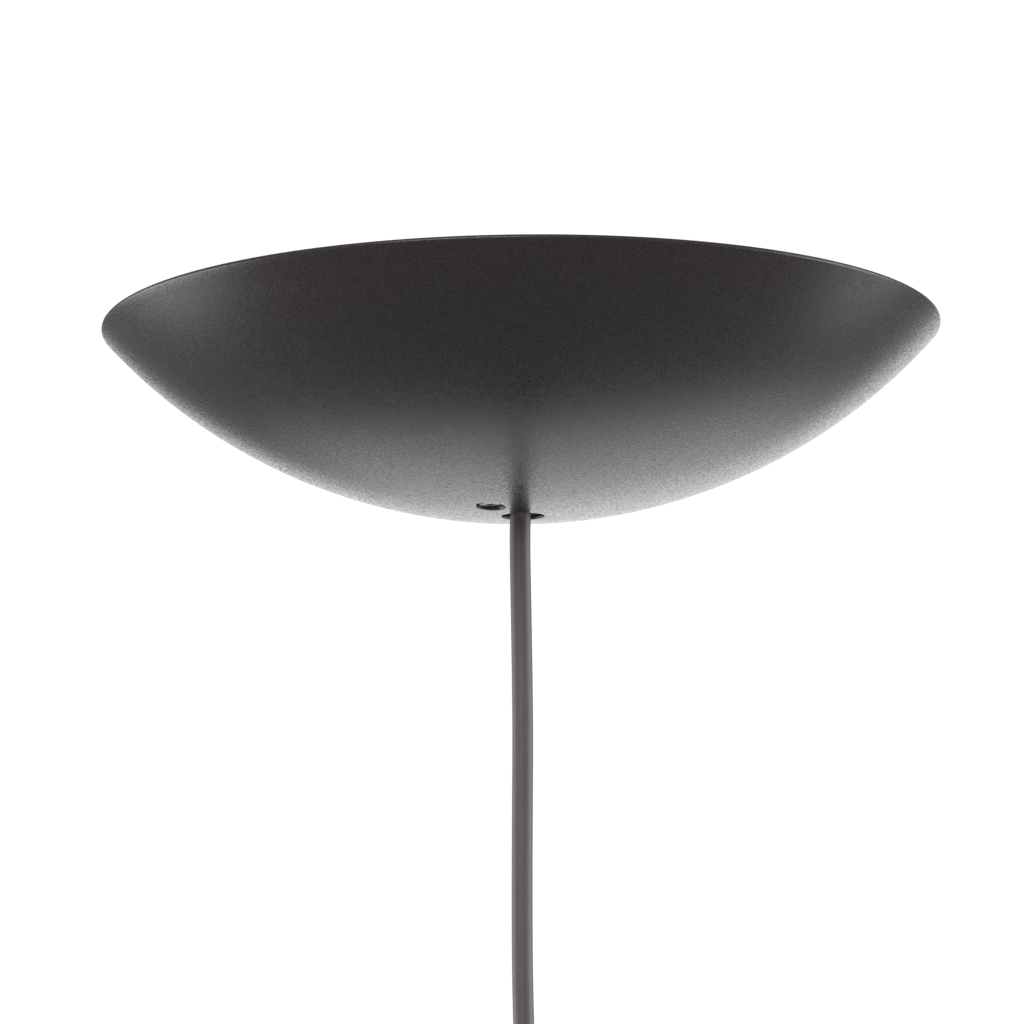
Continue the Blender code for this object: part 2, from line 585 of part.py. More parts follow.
def make_flex(stem_bottom, mat):
    """The sheathed lead, from above the gland down to the lampholder."""
    route = [(0.0, 0.0, FLEX_TOP), (0.0, 0.0, SEAT), (0.0, 0.0, stem_bottom),
             (-0.0006, 0.0, stem_bottom - 0.0100), (-0.0009, 0.0, -0.0660),
             (-0.0008, 0.0001, -0.0800), (-0.0007, 0.0003, -0.0940),
             (-0.0007, 0.0004, -0.1180), (-0.0009, 0.0004, -0.1320),
             (-0.0011, 0.0003, -0.1450), (-0.0013, 0.0001, -0.1600),
             (-0.0014, 0.0, -0.1720), (-0.0014, 0.0, -0.1870), (HOLDER_X, 0.0, -0.2030),
             (HOLDER_X, 0.0, FLEX_END)]
    cord("flex", route, FLEX_RADIUS, mat, 24, sides=4)


def make_holder_cap(mat, steel):
    """The lampholder's cap, whose neck grips the flex with a set screw."""
    flare = [(NECK_RADIUS, -NECK_HEIGHT)]
    drop = CAP_SHOULDER - NECK_HEIGHT
    for i in range(1, 7):
        a = math.radians(90 * i / 6)
        flare.append((NECK_RADIUS + (HOLDER_RADIUS - NECK_RADIUS) * math.sin(a),
                      -NECK_HEIGHT - drop * (1 - math.cos(a))))
    inside = HOLDER_RADIUS - HOLDER_WALL
    profile = [(FLEX_BORE, 0.0), (NECK_RADIUS, 0.0)] + flare
    profile += [(HOLDER_RADIUS, -CAP_HEIGHT), (inside, -CAP_HEIGHT), (inside, -CAP_SHOULDER)]
    profile += [(inside * 0.86, -CAP_SHOULDER + CAP_HOLLOW),
                (inside * 0.5, -CAP_ROOF - CAP_THROAT),
                (inside * 0.4, -CAP_ROOF), (FLEX_BORE, -CAP_ROOF)]
    cap = add_object("holder_cap", turned(profile, 36), mat, (HOLDER_X, 0, HOLDER_TOP))
    height = HOLDER_TOP - NECK_HEIGHT / 2
    start = FLEX_RADIUS + 2 * GAP
    combine(cap, rod(M3_RADIUS + GAP, 2 * NECK_RADIUS, "X"), "DIFFERENCE",
            (HOLDER_X, 0, height))
    length = NECK_RADIUS - start
    screw = add_object("holder_grip_screw", rod(M3_RADIUS, length, "X"), steel,
                       (HOLDER_X + start, 0, height))
    combine(screw, block((2 * GRIP_SLOT_DEPTH, 3 * M3_RADIUS, GRIP_SLOT), (length, 0, 0)), "DIFFERENCE",
            (HOLDER_X + start, 0, height))


def make_holder_body(mat):
    """The body: a spigot inside the cap, a collar, and the threaded skirt for the ring."""
    bore = SKIRT_RADIUS - SKIRT_WALL
    spigot = HOLDER_RADIUS - HOLDER_WALL - RUNNING
    seat = INSERT_BOTTOM - GAP
    bottom = SKIRT_TOP - SKIRT_LENGTH
    profile = [(bore, bottom), (SKIRT_RADIUS, bottom), (SKIRT_RADIUS, SKIRT_TOP),
               (HOLDER_RADIUS, SKIRT_TOP), (HOLDER_RADIUS, COLLAR_TOP), (spigot, COLLAR_TOP),
               (spigot, BODY_TOP), (bore, BODY_TOP), (bore, seat), (LEDGE_RADIUS, seat),
               (LEDGE_RADIUS, seat - LEDGE_HEIGHT), (bore, seat - LEDGE_HEIGHT)]
    add_object("holder_body", turned(profile, 36), mat, (HOLDER_X, 0, 0))


def make_shade_ring(mat, fibre):
    """The ribbed ring and its washer, which clamp a shade up against the collar."""
    bore = SKIRT_RADIUS + RUNNING
    low = RING_TOP + GAP
    high = low + SHADE_WASHER_THICKNESS
    washer = [(bore, low), (SHADE_WASHER_RADIUS, low), (SHADE_WASHER_RADIUS, high), (bore, high)]
    add_object("shade_washer", turned(washer, 36), fibre, (HOLDER_X, 0, 0))
    steps = RING_RIBS * 4
    outline = []
    for i in range(steps):
        reach = RING_RADIUS - (RING_RIB_DEPTH if i % 4 > 1 else 0.0)
        a = 2 * math.pi * i / steps
        outline.append((reach * math.cos(a), reach * math.sin(a)))
    disc = extruded(outline, "Z", RING_TOP - RING_HEIGHT, RING_TOP)
    ring = add_object("shade_ring", disc, mat, (HOLDER_X, 0, 0), smooth=False)
    hole = rod(bore, 3 * RING_HEIGHT, steps=36)
    combine(ring, hole, "DIFFERENCE", (HOLDER_X, 0, RING_TOP - 2 * RING_HEIGHT))


def make_holder_inside(ceramic, brass, steel):
    """The insert that carries the contacts: screw shell, centre spring and two screws."""
    radius = SKIRT_RADIUS - SKIRT_WALL - GAP
    insert = add_object("holder_insert", rod(radius, INSERT_HEIGHT, steps=32), ceramic,
                        (HOLDER_X, 0, INSERT_BOTTOM))
    for name, side in (("live", 1), ("neutral", -1)):
        x = HOLDER_X + side * CONTACT_SCREW_OFFSET
        hole = rod(M3_RADIUS + RUNNING, 2 * INSERT_HEIGHT)
        combine(insert, hole, "DIFFERENCE", (x, 0, INSERT_BOTTOM - INSERT_HEIGHT / 2))
        pan_head_screw(f"contact_screw_{name}", M3_HEAD_RADIUS, M3_HEAD_HEIGHT, M3_RADIUS,
                       INSERT_HEIGHT - GAP, steel, (x, 0, INSERT_TOP + GAP))
    top = INSERT_BOTTOM - GAP
    inner = SHELL_RADIUS - SHELL_SHEET
    shell = [(SHELL_MOUTH, top - SHELL_SHEET), (inner, top - SHELL_SHEET),
             (inner, top - SHELL_LENGTH), (SHELL_RADIUS, top - SHELL_LENGTH),
             (SHELL_RADIUS, top), (SHELL_MOUTH, top)]
    add_object("screw_shell", turned(shell, 32), brass, (HOLDER_X, 0, 0))
    low = top - CONTACT_SPRING
    strip = [(-0.0065, top), (-0.0025, top), (0.0015, low), (0.0055, low),
             (0.0055, low - CONTACT_STRIP), (0.0013, low - CONTACT_STRIP),
             (-0.0027, top - CONTACT_STRIP), (-0.0065, top - CONTACT_STRIP)]
    half = CONTACT_STRIP_WIDTH / 2
    add_object("centre_contact", extruded(strip, "Y", -half, half), brass, (HOLDER_X, 0, 0),
               smooth=False)


def make_holder_cores(brown, blue):
    """The two cores from the flex's lower end to the lampholder's screws."""
    start = FLEX_END - GAP
    head = INSERT_TOP + GAP + M3_HEAD_HEIGHT / 2
    for name, side, mat in (("holder_live_core", 1, brown), ("holder_neutral_core", -1, blue)):
        end = CONTACT_SCREW_OFFSET - M3_HEAD_RADIUS - CORE_RADIUS - GAP
        route = [(HOLDER_X + side * CORE_SPACING, 0, start),
                 (HOLDER_X + side * CORE_SPACING, 0, start - 0.003),
                 (HOLDER_X + side * 0.0030, 0.0010, start - 0.008),
                 (HOLDER_X + side * 0.0046, 0.0006, (start - 0.008 + head) / 2),
                 (HOLDER_X + side * end, 0, head)]
        cord(name, route, CORE_RADIUS, mat, 8)


def main():
    clear_scene()
    paint = make_material("powder_coat", (0.035, 0.031, 0.031), 0.42)
    steel = make_material("zinc_plated_steel", (0.60, 0.61, 0.62), 0.34, 1.0)
    nylon = make_material("black_nylon", (0.020, 0.020, 0.021), 0.45)
    rubber = make_material("seal_rubber", (0.025, 0.025, 0.025), 0.70)
    sheath = make_material("flex_sheath", (0.105, 0.098, 0.098), 0.48)
    brown = make_material("core_brown", (0.150, 0.055, 0.025), 0.40)
    blue = make_material("core_blue", (0.030, 0.120, 0.420), 0.40)
    housing = make_material("terminal_housing", (0.780, 0.770, 0.720), 0.50)
    brass = make_material("brass", (0.780, 0.570, 0.220), 0.28, 1.0)
    holder = make_material("holder_plastic", (0.022, 0.021, 0.021), 0.38)
    fibre = make_material("washer_fibre", (0.300, 0.060, 0.040), 0.75)
    ceramic = make_material("insert_ceramic", (0.800, 0.790, 0.760), 0.30)
    here, seat = make_canopy(paint)
    make_fixing_screw(here, seat, paint, nylon)
    make_clinch_nut(here, steel)
    make_ceiling_plate(steel)
    make_yoke(here, steel)
    make_yoke_screws(steel)
    make_earth(steel)
    stem_bottom = make_gland(nylon, rubber)
    make_terminals(housing, brass, steel)
    make_cores(brown, blue)
    make_flex(stem_bottom, sheath)
    make_holder_cap(holder, steel)
    make_holder_body(holder)
    make_shade_ring(holder, fibre)
    make_holder_inside(ceramic, brass, steel)
    make_holder_cores(brown, blue)


main()
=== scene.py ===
"""A pendant lamp's suspension, dressed: the spun canopy, its bracket and terminals, the flex
and the lampholder on its end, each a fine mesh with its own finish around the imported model.

Metres, +Z up, with the origin on the ceiling on the canopy's axis.
"""
import math

import bmesh
import bpy
import numpy as np
from mathutils import Matrix, Vector
from mathutils.geometry import delaunay_2d_cdt


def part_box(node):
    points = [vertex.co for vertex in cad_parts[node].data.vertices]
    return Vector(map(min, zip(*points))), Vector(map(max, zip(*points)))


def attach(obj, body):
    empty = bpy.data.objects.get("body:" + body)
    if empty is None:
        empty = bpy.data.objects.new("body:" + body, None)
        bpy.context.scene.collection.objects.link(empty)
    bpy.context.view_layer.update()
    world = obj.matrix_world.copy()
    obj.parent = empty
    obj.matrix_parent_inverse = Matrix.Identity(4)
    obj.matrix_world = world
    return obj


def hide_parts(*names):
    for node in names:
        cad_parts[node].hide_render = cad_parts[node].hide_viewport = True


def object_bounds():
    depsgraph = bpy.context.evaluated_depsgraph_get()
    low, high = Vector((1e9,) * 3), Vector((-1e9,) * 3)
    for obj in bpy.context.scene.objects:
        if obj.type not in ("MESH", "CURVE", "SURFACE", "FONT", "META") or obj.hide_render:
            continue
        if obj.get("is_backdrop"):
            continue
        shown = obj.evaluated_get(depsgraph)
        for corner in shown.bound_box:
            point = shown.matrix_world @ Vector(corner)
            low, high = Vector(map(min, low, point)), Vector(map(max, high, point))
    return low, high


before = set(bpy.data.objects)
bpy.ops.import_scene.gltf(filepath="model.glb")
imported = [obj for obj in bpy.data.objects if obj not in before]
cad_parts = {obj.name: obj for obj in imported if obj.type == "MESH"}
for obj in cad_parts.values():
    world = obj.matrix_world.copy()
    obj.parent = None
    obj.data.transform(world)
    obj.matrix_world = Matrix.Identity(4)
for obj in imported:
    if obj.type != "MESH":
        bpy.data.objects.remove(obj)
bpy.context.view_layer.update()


# ------------------------------------------------------------------ camera
# A long lens about 1.1 m from the lamp's axis, below the canopy and looking a little
# up, so that the dome hides the ceiling and everything above its rim.
LENS_MM = 140.6
SENSOR_MM = 36.0
EYE = (-0.0031, -1.1252, -0.2423)
LOOK_UP = 0.1666
ROLL = -0.0099

camera = bpy.data.objects.new("camera", bpy.data.cameras.new("camera"))
bpy.context.scene.collection.objects.link(camera)
camera.data.sensor_width = SENSOR_MM
camera.data.lens = LENS_MM
camera.matrix_world = (Matrix.Translation(EYE)
                       @ Matrix.Rotation(math.radians(90) + LOOK_UP, 4, "X")
                       @ Matrix.Rotation(ROLL, 4, "Z"))
bpy.context.scene.camera = camera
bpy.context.scene.view_settings.view_transform = "Standard"


# ------------------------------------------------------------------ flex
# The round lead that carries the lamp: two cores under one extruded PVC sheath, 6 mm
# across. It hangs from the gland through the canopy's hole down into the lampholder.
FLEX_DIAMETER = 0.0060
FLEX_ROUTE = [(0.0, 0.0, -0.0188), (0.0, 0.0, -0.0362), (0.0, 0.0, -0.0420),
              (-0.0006, 0.0, -0.0520), (-0.0009, 0.0, -0.0660), (-0.0008, 0.0001, -0.0800),
              (-0.0007, 0.0003, -0.0940), (-0.0007, 0.0004, -0.1180),
              (-0.0009, 0.0004, -0.1320), (-0.0011, 0.0003, -0.1450),
              (-0.0013, 0.0001, -0.1600), (-0.0014, 0.0, -0.1720), (-0.0014, 0.0, -0.1870),
              (-0.0012, 0.0, -0.2030), (-0.0012, 0.0, -0.2200)]


def smooth_route(points, count):
    """A natural cubic spline through route points, sampled evenly by length."""
    pts = np.array(points, dtype=float)
    knots = np.concatenate([[0.0], np.cumsum(np.linalg.norm(np.diff(pts, axis=0), axis=1))])
    gaps = np.diff(knots)
    last = len(pts) - 1
    matrix = np.eye(last + 1)
    right = np.zeros((last + 1, 3))
    for i in range(1, last):
        matrix[i, i - 1:i + 2] = gaps[i - 1], 2 * (gaps[i - 1] + gaps[i]), gaps[i]
        right[i] = 6 * ((pts[i + 1] - pts[i]) / gaps[i] - (pts[i] - pts[i - 1]) / gaps[i - 1])
    bend = np.linalg.solve(matrix, right)
    fine = []
    for s in np.linspace(0.0, knots[-1], 40 * last):
        i = min(max(int(np.searchsorted(knots, s)) - 1, 0), last - 1)
        a = (knots[i + 1] - s) / gaps[i]
        b = (s - knots[i]) / gaps[i]
        curve = ((a ** 3 - a) * bend[i] + (b ** 3 - b) * bend[i + 1]) * gaps[i] ** 2 / 6
        fine.append(a * pts[i] + b * pts[i + 1] + curve)
    fine = np.array(fine)
    length = np.concatenate([[0.0], np.cumsum(np.linalg.norm(np.diff(fine, axis=0), axis=1))])
    even = np.linspace(0.0, length[-1], count)
    return [tuple(np.interp(s, length, fine[:, k]) for k in range(3)) for s in even]


def lead(name, route, diameter, material, count):
    """A round lead along a route: a curve with a round bevel and closed ends."""
    curve = bpy.data.curves.new(name, "CURVE")
    curve.dimensions = "3D"
    curve.bevel_depth = diameter / 2
    curve.bevel_resolution = 7
    curve.use_fill_caps = True
    curve.materials.append(material)
    spline = curve.splines.new("POLY")
    points = smooth_route(route, count)
    spline.points.add(len(points) - 1)
    for knot, point in zip(spline.points, points):
        knot.co = (*point, 1.0)
    spline.use_smooth = True
    made = bpy.data.objects.new(name, curve)
    bpy.context.scene.collection.objects.link(made)
    return made


def linear(code):
    """An sRGB hex colour as linear red, green, blue and alpha."""
    channels = [int(code[i:i + 2], 16) / 255 for i in (0, 2, 4)]
    return [c / 12.92 if c <= 0.04045 else ((c + 0.055) / 1.055) ** 2.4
            for c in channels] + [1.0]


def add(tree, kind, settings, inputs):
    """Add a shader node with its settings. An input is a value or another node's socket."""
    made = tree.nodes.new("ShaderNode" + kind)
    for key, value in settings.items():
        setattr(made, key, value)
    for key, value in inputs.items():
        if isinstance(value, bpy.types.NodeSocket):
            tree.links.new(value, made.inputs[key])
        else:
            made.inputs[key].default_value = value
    return made


def start_material(name, roughness, metallic, ior):
    """A Principled material with its constants set, its tree and its object coordinates."""
    material = bpy.data.materials.new(name)
    material.use_nodes = True
    tree = material.node_tree
    shader = tree.nodes["Principled BSDF"]
    shader.inputs["Roughness"].default_value = roughness
    shader.inputs["Metallic"].default_value = metallic
    shader.inputs["IOR"].default_value = ior
    place = add(tree, "TexCoord", {}, {}).outputs["Object"]
    return material, tree, shader, place


# Extruded PVC sheath: even matt grey. The die leaves faint streaks along the length and
# the cooling bath a slight softness, which is the fine grain across them.
STREAK_WIDTH = 0.0005
STREAK_LENGTH = 0.030
SHEATH_GRAIN = 0.0003
sheath, tree, shader, place = start_material("extruded_pvc_sheath", 0.48, 0.0, 1.53)
along = add(tree, "Mapping", {}, {"Vector": place, "Scale": (1 / STREAK_WIDTH, 1 / STREAK_WIDTH,
                                                             1 / STREAK_LENGTH)})
streak = add(tree, "TexNoise", {}, {"Vector": along.outputs[0], "Scale": 1.0, "Detail": 2.0})
grain = add(tree, "TexNoise", {}, {"Vector": place, "Scale": 1 / SHEATH_GRAIN, "Detail": 2.0})
tone = add(tree, "Mix", {"data_type": "RGBA"}, {0: streak.outputs["Fac"],
                                                6: linear("686160"), 7: linear("746d6c")})
tree.links.new(tone.outputs[2], shader.inputs["Base Color"])
rough = add(tree, "MapRange", {}, {"Value": grain.outputs["Fac"], "To Min": 0.42, "To Max": 0.56})
tree.links.new(rough.outputs[0], shader.inputs["Roughness"])
height = add(tree, "Math", {"operation": "ADD"}, {0: streak.outputs["Fac"],
                                                  1: grain.outputs["Fac"]})
bump = add(tree, "Bump", {}, {"Strength": 0.5, "Distance": 0.00004, "Height": height.outputs[0]})
tree.links.new(bump.outputs[0], shader.inputs["Normal"])

flex_lead = lead("flex_lead", FLEX_ROUTE, FLEX_DIAMETER, sheath, 110)
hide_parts("flex")
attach(flex_lead, "root")


# ------------------------------------------------------------------ canopy
# A disc of 1.5 mm steel spun to a shallow dome, with a rounded rim, a hole for the flex
# and a pressed recess for its one fixing screw. Textured powder coat covers it all.
CANOPY_DEPTH = 0.054
SHEET = 0.0015
CORD_HOLE = 0.006
HOLE_EDGE = 0.0005
RECESS_EDGE = 0.0006
RECESS_AIR = 0.0003
SCREW_HOLE = 0.00235
PATCH_RADIUS = 0.026         # the patch round both holes, inside the turned rows
PATCH_SPACING = 0.0013
DOME_STEPS = 192
RECESS_STEPS = 64
GAP = 0.0003                 # the least air between two pieces
canopy_low, canopy_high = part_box("canopy")
screw_low, screw_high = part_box("canopy_fixing_screw")
fixing = Vector(((screw_low.x + screw_high.x) / 2, (screw_low.y + screw_high.y) / 2))
head_radius = (screw_high.x - screw_low.x) / 2
recess_radius = head_radius + RECESS_AIR
washer_low, washer_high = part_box("screw_washer")
recess_floor = washer_high.z + GAP
rim_middle = canopy_high.x - SHEET / 2
bowl_depth = CANOPY_DEPTH - SHEET
dome_radius = (rim_middle ** 2 + bowl_depth ** 2) / (2 * bowl_depth) + SHEET / 2
dome_centre = canopy_high.z - CANOPY_DEPTH + dome_radius


def skin_height(x, y, inset):
    """Height of the dome's outer skin, or of a skin inset from it, over a point."""
    return dome_centre - math.sqrt((dome_radius - inset) ** 2 - x * x - y * y)


def ring(bm, middle, radius, steps, inset):
    """A ring of vertices about a point, lying on one of the dome's skins."""
    made = []
    for i in range(steps):
        angle = 2 * math.pi * i / steps
        x = middle[0] + radius * math.cos(angle)
        y = middle[1] + radius * math.sin(angle)
        made.append(bm.verts.new((x, y, skin_height(x, y, inset))))
    return made


def level_ring(bm, middle, radius, steps, z):
    """A level ring of vertices about a point."""
    turns = [2 * math.pi * i / steps for i in range(steps)]
    return [bm.verts.new((middle[0] + radius * math.cos(a), middle[1] + radius * math.sin(a), z))
            for a in turns]


def loft(bm, rings):
    """Faces from each ring to the next."""
    for lower, upper in zip(rings, rings[1:]):
        for i in range(len(lower)):
            j = (i + 1) % len(lower)
            bm.faces.new((lower[i], lower[j], upper[j], upper[i]))


def patch(bm, outside, holes, inset):
    """Fill a skin between an outer ring and the rings of its holes, with even triangles."""
    loops = [outside, *holes]
    known = [v for loop in loops for v in loop]
    points = [Vector(v.co.xy) for v in known]
    edges = []
    first = 0
    for loop in loops:
        edges += [(first + i, first + (i + 1) % len(loop)) for i in range(len(loop))]
        first += len(loop)
    reach = outside[0].co.xy.length
    for radius in np.arange(CORD_HOLE + 2 * PATCH_SPACING, reach - PATCH_SPACING / 2, PATCH_SPACING):
        steps = int(2 * math.pi * radius / PATCH_SPACING)
        for i in range(steps):
            angle = 2 * math.pi * i / steps
            point = Vector((radius * math.cos(angle), radius * math.sin(angle)))
            if all((point - loop_middle(loop)).length > loop_reach(loop) + PATCH_SPACING / 2
                   for loop in holes):
                points.append(point)
    found = delaunay_2d_cdt(points, edges, [], 0, 1e-7)
    flat, faces, origin = found[0], found[2], found[3]
    verts = []
    for point, source in zip(flat, origin):
        inside = [k for k in source if k < len(known)]
        if inside:
            verts.append(known[inside[0]])
        else:
            verts.append(bm.verts.new((point.x, point.y, skin_height(point.x, point.y, inset))))
    for face in faces:
        middle = sum((flat[k] for k in face), Vector((0, 0))) / 3
        if any((middle - loop_middle(loop)).length < loop_reach(loop) for loop in holes):
            continue
        bm.faces.new([verts[k] for k in face])


def loop_middle(loop):
    """Centre of a ring of vertices, seen from above."""
    return sum((v.co.xy for v in loop), Vector((0, 0))) / len(loop)


def loop_reach(loop):
    """Radius of a ring of vertices, seen from above."""
    return (loop[0].co.xy - loop_middle(loop)).length


def finish_mesh(name, bm, material, sharp=35):
    """Close a bmesh into a named object, shaded smooth away from its corners."""
    bmesh.ops.recalc_face_normals(bm, faces=bm.faces)
    mesh = bpy.data.meshes.new(name)
    bm.to_mesh(mesh)
    bm.free()
    mesh.shade_smooth()
    mesh.set_sharp_from_angle(angle=math.radians(sharp))
    mesh.materials.append(material)
    made = bpy.data.objects.new(name, mesh)
    bpy.context.scene.collection.objects.link(made)
    return made


# Textured polyester powder, baked on: dark warm graphite. The powder flows out into a fine
# pebbled skin with pits and beads about half a millimetre across, which glint one by one
# where a light grazes them, over a slow orange peel of a few millimetres.
PEBBLE = 0.00060
GLINT = 0.00040
ORANGE_PEEL = 0.0040
coat, tree, shader, place = start_material("textured_powder_coat", 0.27, 0.0, 1.50)
pebble = add(tree, "TexVoronoi", {"feature": "SMOOTH_F1"},
             {"Vector": place, "Scale": 1 / PEBBLE, "Smoothness": 0.6})
glint = add(tree, "TexVoronoi", {}, {"Vector": place, "Scale": 1 / GLINT})
bead = add(tree, "SeparateColor", {}, {"Color": glint.outputs["Color"]})
peel = add(tree, "TexNoise", {}, {"Vector": place, "Scale": 1 / ORANGE_PEEL, "Detail": 1.0})
tone = add(tree, "Mix", {"data_type": "RGBA"}, {0: bead.outputs["Red"],
                                                6: linear("362f30"), 7: linear("494243")})
tree.links.new(tone.outputs[2], shader.inputs["Base Color"])
rough = add(tree, "MapRange", {}, {"Value": bead.outputs["Green"], "To Min": 0.16,
                                   "To Max": 0.42})
tree.links.new(rough.outputs[0], shader.inputs["Roughness"])
fine = add(tree, "Bump", {}, {"Strength": 0.50, "Distance": 0.00006,
                              "Height": pebble.outputs["Distance"]})
finer = add(tree, "Bump", {}, {"Strength": 0.30, "Distance": 0.00003,
                               "Height": bead.outputs["Blue"], "Normal": fine.outputs[0]})
slow = add(tree, "Bump", {}, {"Strength": 0.15, "Distance": 0.00008,
                              "Height": peel.outputs["Fac"], "Normal": finer.outputs[0]})
tree.links.new(slow.outputs[0], shader.inputs["Normal"])

bm = bmesh.new()
loops = {}
for side, inset, recess in (("outer", 0.0, recess_radius), ("inner", SHEET, recess_radius + SHEET)):
    wide = ring(bm, (0, 0), PATCH_RADIUS, DOME_STEPS, inset)
    hole = ring(bm, (0, 0), CORD_HOLE + HOLE_EDGE, DOME_STEPS // 2, inset)
    mouth = ring(bm, fixing, recess + RECESS_EDGE, RECESS_STEPS, inset)
    patch(bm, wide, [hole, mouth], inset)
    edge = [mouth]
    for k in range(1, 5):
        turn = math.radians(90 * k / 4)
        rounded = ring(bm, fixing, recess + RECESS_EDGE * (1 - math.sin(turn)), RECESS_STEPS, inset)
        for v in rounded:
            v.co.z += RECESS_EDGE * (1 - math.cos(turn))
        edge.append(rounded)
    floor_z = recess_floor + (0.0 if side == "outer" else SHEET)
    for radius, z in ((recess, floor_z - RECESS_EDGE / 2), (recess - RECESS_EDGE / 2, floor_z),
                      (SCREW_HOLE, floor_z)):
        edge.append(level_ring(bm, fixing, radius, RECESS_STEPS, z))
    loft(bm, edge)
    angles = np.linspace(math.asin(PATCH_RADIUS / (dome_radius - inset)),
                         math.asin(rim_middle / (dome_radius - SHEET / 2)),
                         56 if side == "outer" else 20)
    rows = [wide] + [level_ring(bm, (0, 0), (dome_radius - inset) * math.sin(a), DOME_STEPS,
                                dome_centre - (dome_radius - inset) * math.cos(a))
                     for a in angles[1:]]
    loft(bm, rows)
    loops[side] = (rows[-1], hole, edge[-1])
last = math.asin(rim_middle / (dome_radius - SHEET / 2))
rim_z = dome_centre - (dome_radius - SHEET / 2) * math.cos(last)
rim = [level_ring(bm, (0, 0), rim_middle + SHEET / 2 * math.cos(t), DOME_STEPS,
                  rim_z + SHEET / 2 * math.sin(t))
       for t in np.linspace(last - math.pi / 2, last + math.pi / 2, 13)[1:-1]]
loft(bm, [loops["outer"][0], *rim, loops["inner"][0]])
throat = []
for t in np.linspace(0, math.pi / 2, 5)[1:]:
    throat.append(level_ring(bm, (0, 0), CORD_HOLE + HOLE_EDGE * (1 - math.sin(t)), DOME_STEPS // 2,
                             skin_height(CORD_HOLE, 0, 0) + HOLE_EDGE * (1 - math.cos(t))))
for t in np.linspace(math.pi / 2, 0, 5)[:-1]:
    throat.append(level_ring(bm, (0, 0), CORD_HOLE + HOLE_EDGE * (1 - math.sin(t)), DOME_STEPS // 2,
                             skin_height(CORD_HOLE, 0, SHEET) - HOLE_EDGE * (1 - math.cos(t))))
loft(bm, [loops["outer"][1], *throat, loops["inner"][1]])
loft(bm, [loops["outer"][2], loops["inner"][2]])
canopy_dome = finish_mesh("canopy_dome", bm, coat, sharp=50)
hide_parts("canopy")
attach(canopy_dome, "canopy")


# ------------------------------------------------------------------ fixing screw
# An M4 pan-head screw, coated in the same powder as the canopy, that goes up through the
# recess into the bracket's nut. Its thread is rolled and its cross recess is punched.
HEAD_HEIGHT = 0.0024
HEAD_ROUND = 0.0008
M4_PITCH = 0.0007
M4_DEPTH = 0.00030
M4_RADIUS = 0.00195
CROSS_LENGTH = 0.0042
CROSS_WIDTH = 0.0010
CROSS_DEPTH = 0.0014
CROSS_TAPER = 0.6            # the cross's width at its foot, as a share of its mouth
CROSS_TURN = 20
POINT = 0.0005               # chamfer at a screw's tip


def turned(profile, steps=64, shape=None):
    """Turn a closed outline of (radius, height) points about Z. Shape may change a radius."""
    bm = bmesh.new()
    rings = []
    for radius, z in profile:
        if radius <= 0.0:
            continue
        row = []
        for i in range(steps):
            angle = 2 * math.pi * i / steps
            reach = shape(radius, z, angle) if shape else radius
            row.append(bm.verts.new((reach * math.cos(angle), reach * math.sin(angle), z)))
        rings.append(row)
    if all(radius > 0.0 for radius, _ in profile):
        loft(bm, [*rings, rings[0]])
    else:
        loft(bm, rings)
        bm.faces.new(rings[0])
        bm.faces.new(rings[-1])
    return bm


def arc(centre, radius, start, end, count):
    """Points on an arc, angles in degrees."""
    angles = np.radians(np.linspace(start, end, count))
    return [(centre[0] + radius * math.cos(a), centre[1] + radius * math.sin(a)) for a in angles]


def thread_rows(radius, low, high, pitch):
    """Outline points up a threaded stretch, ten to a turn."""
    count = int((high - low) / pitch * 10) + 1
    return [(radius, z) for z in np.linspace(low, high, count)]


def thread(radius, low, high, pitch, depth):
    """A right-handed thread cut into a radius between two heights, running out at its ends."""
    def shape(reach, z, angle):
        if abs(reach - radius) > 1e-7 or not low <= z <= high:
            return reach
        turn = z / pitch - angle / (2 * math.pi)
        fade = min(1.0, (z - low) / pitch, (high - z) / pitch)
        return reach - depth * fade * (0.5 - 0.5 * math.cos(2 * math.pi * turn))
    return shape


def carve(piece, bm, operation="DIFFERENCE"):
    """Cut a shape out of a piece, or join it on, with an exact Boolean, and keep the result."""
    tool = finish_mesh("tool", bm, piece.data.materials[0])
    step = piece.modifiers.new("carve", "BOOLEAN")
    step.operation = operation
    step.solver = "EXACT"
    step.object = tool
    graph = bpy.context.evaluated_depsgraph_get()
    result = bpy.data.meshes.new_from_object(piece.evaluated_get(graph))
    piece.modifiers.clear()
    piece.data = result
    bpy.data.objects.remove(tool)


def soften(piece, width, angle=35):
    """Round a piece's edges over a width, as its making leaves them."""
    bevel = piece.modifiers.new("edges", "BEVEL")
    bevel.width = width
    bevel.segments = 3
    bevel.limit_method = "ANGLE"
    bevel.angle_limit = math.radians(angle)
    bevel.harden_normals = True
    piece.data.shade_smooth()


def extruded(outline, low, high, turn=None):
    """Extrude a flat outline of (x, y) points from one height to another."""
    bm = bmesh.new()
    ends = [[bm.verts.new((x, y, z)) for x, y in outline] for z in (low, high)]
    bm.faces.new(ends[0])
    bm.faces.new(ends[1])
    loft(bm, ends)
    if turn is not None:
        bm.transform(turn)
    return bm


def shifted(bm, x, y, z):
    """Move a bmesh to its place."""
    bm.transform(Matrix.Translation((x, y, z)))
    return bm


def smooth_again(piece, sharp=45):
    """Shade a carved piece smooth, away from its corners."""
    piece.data.shade_smooth()
    piece.data.set_sharp_from_angle(angle=math.radians(sharp))


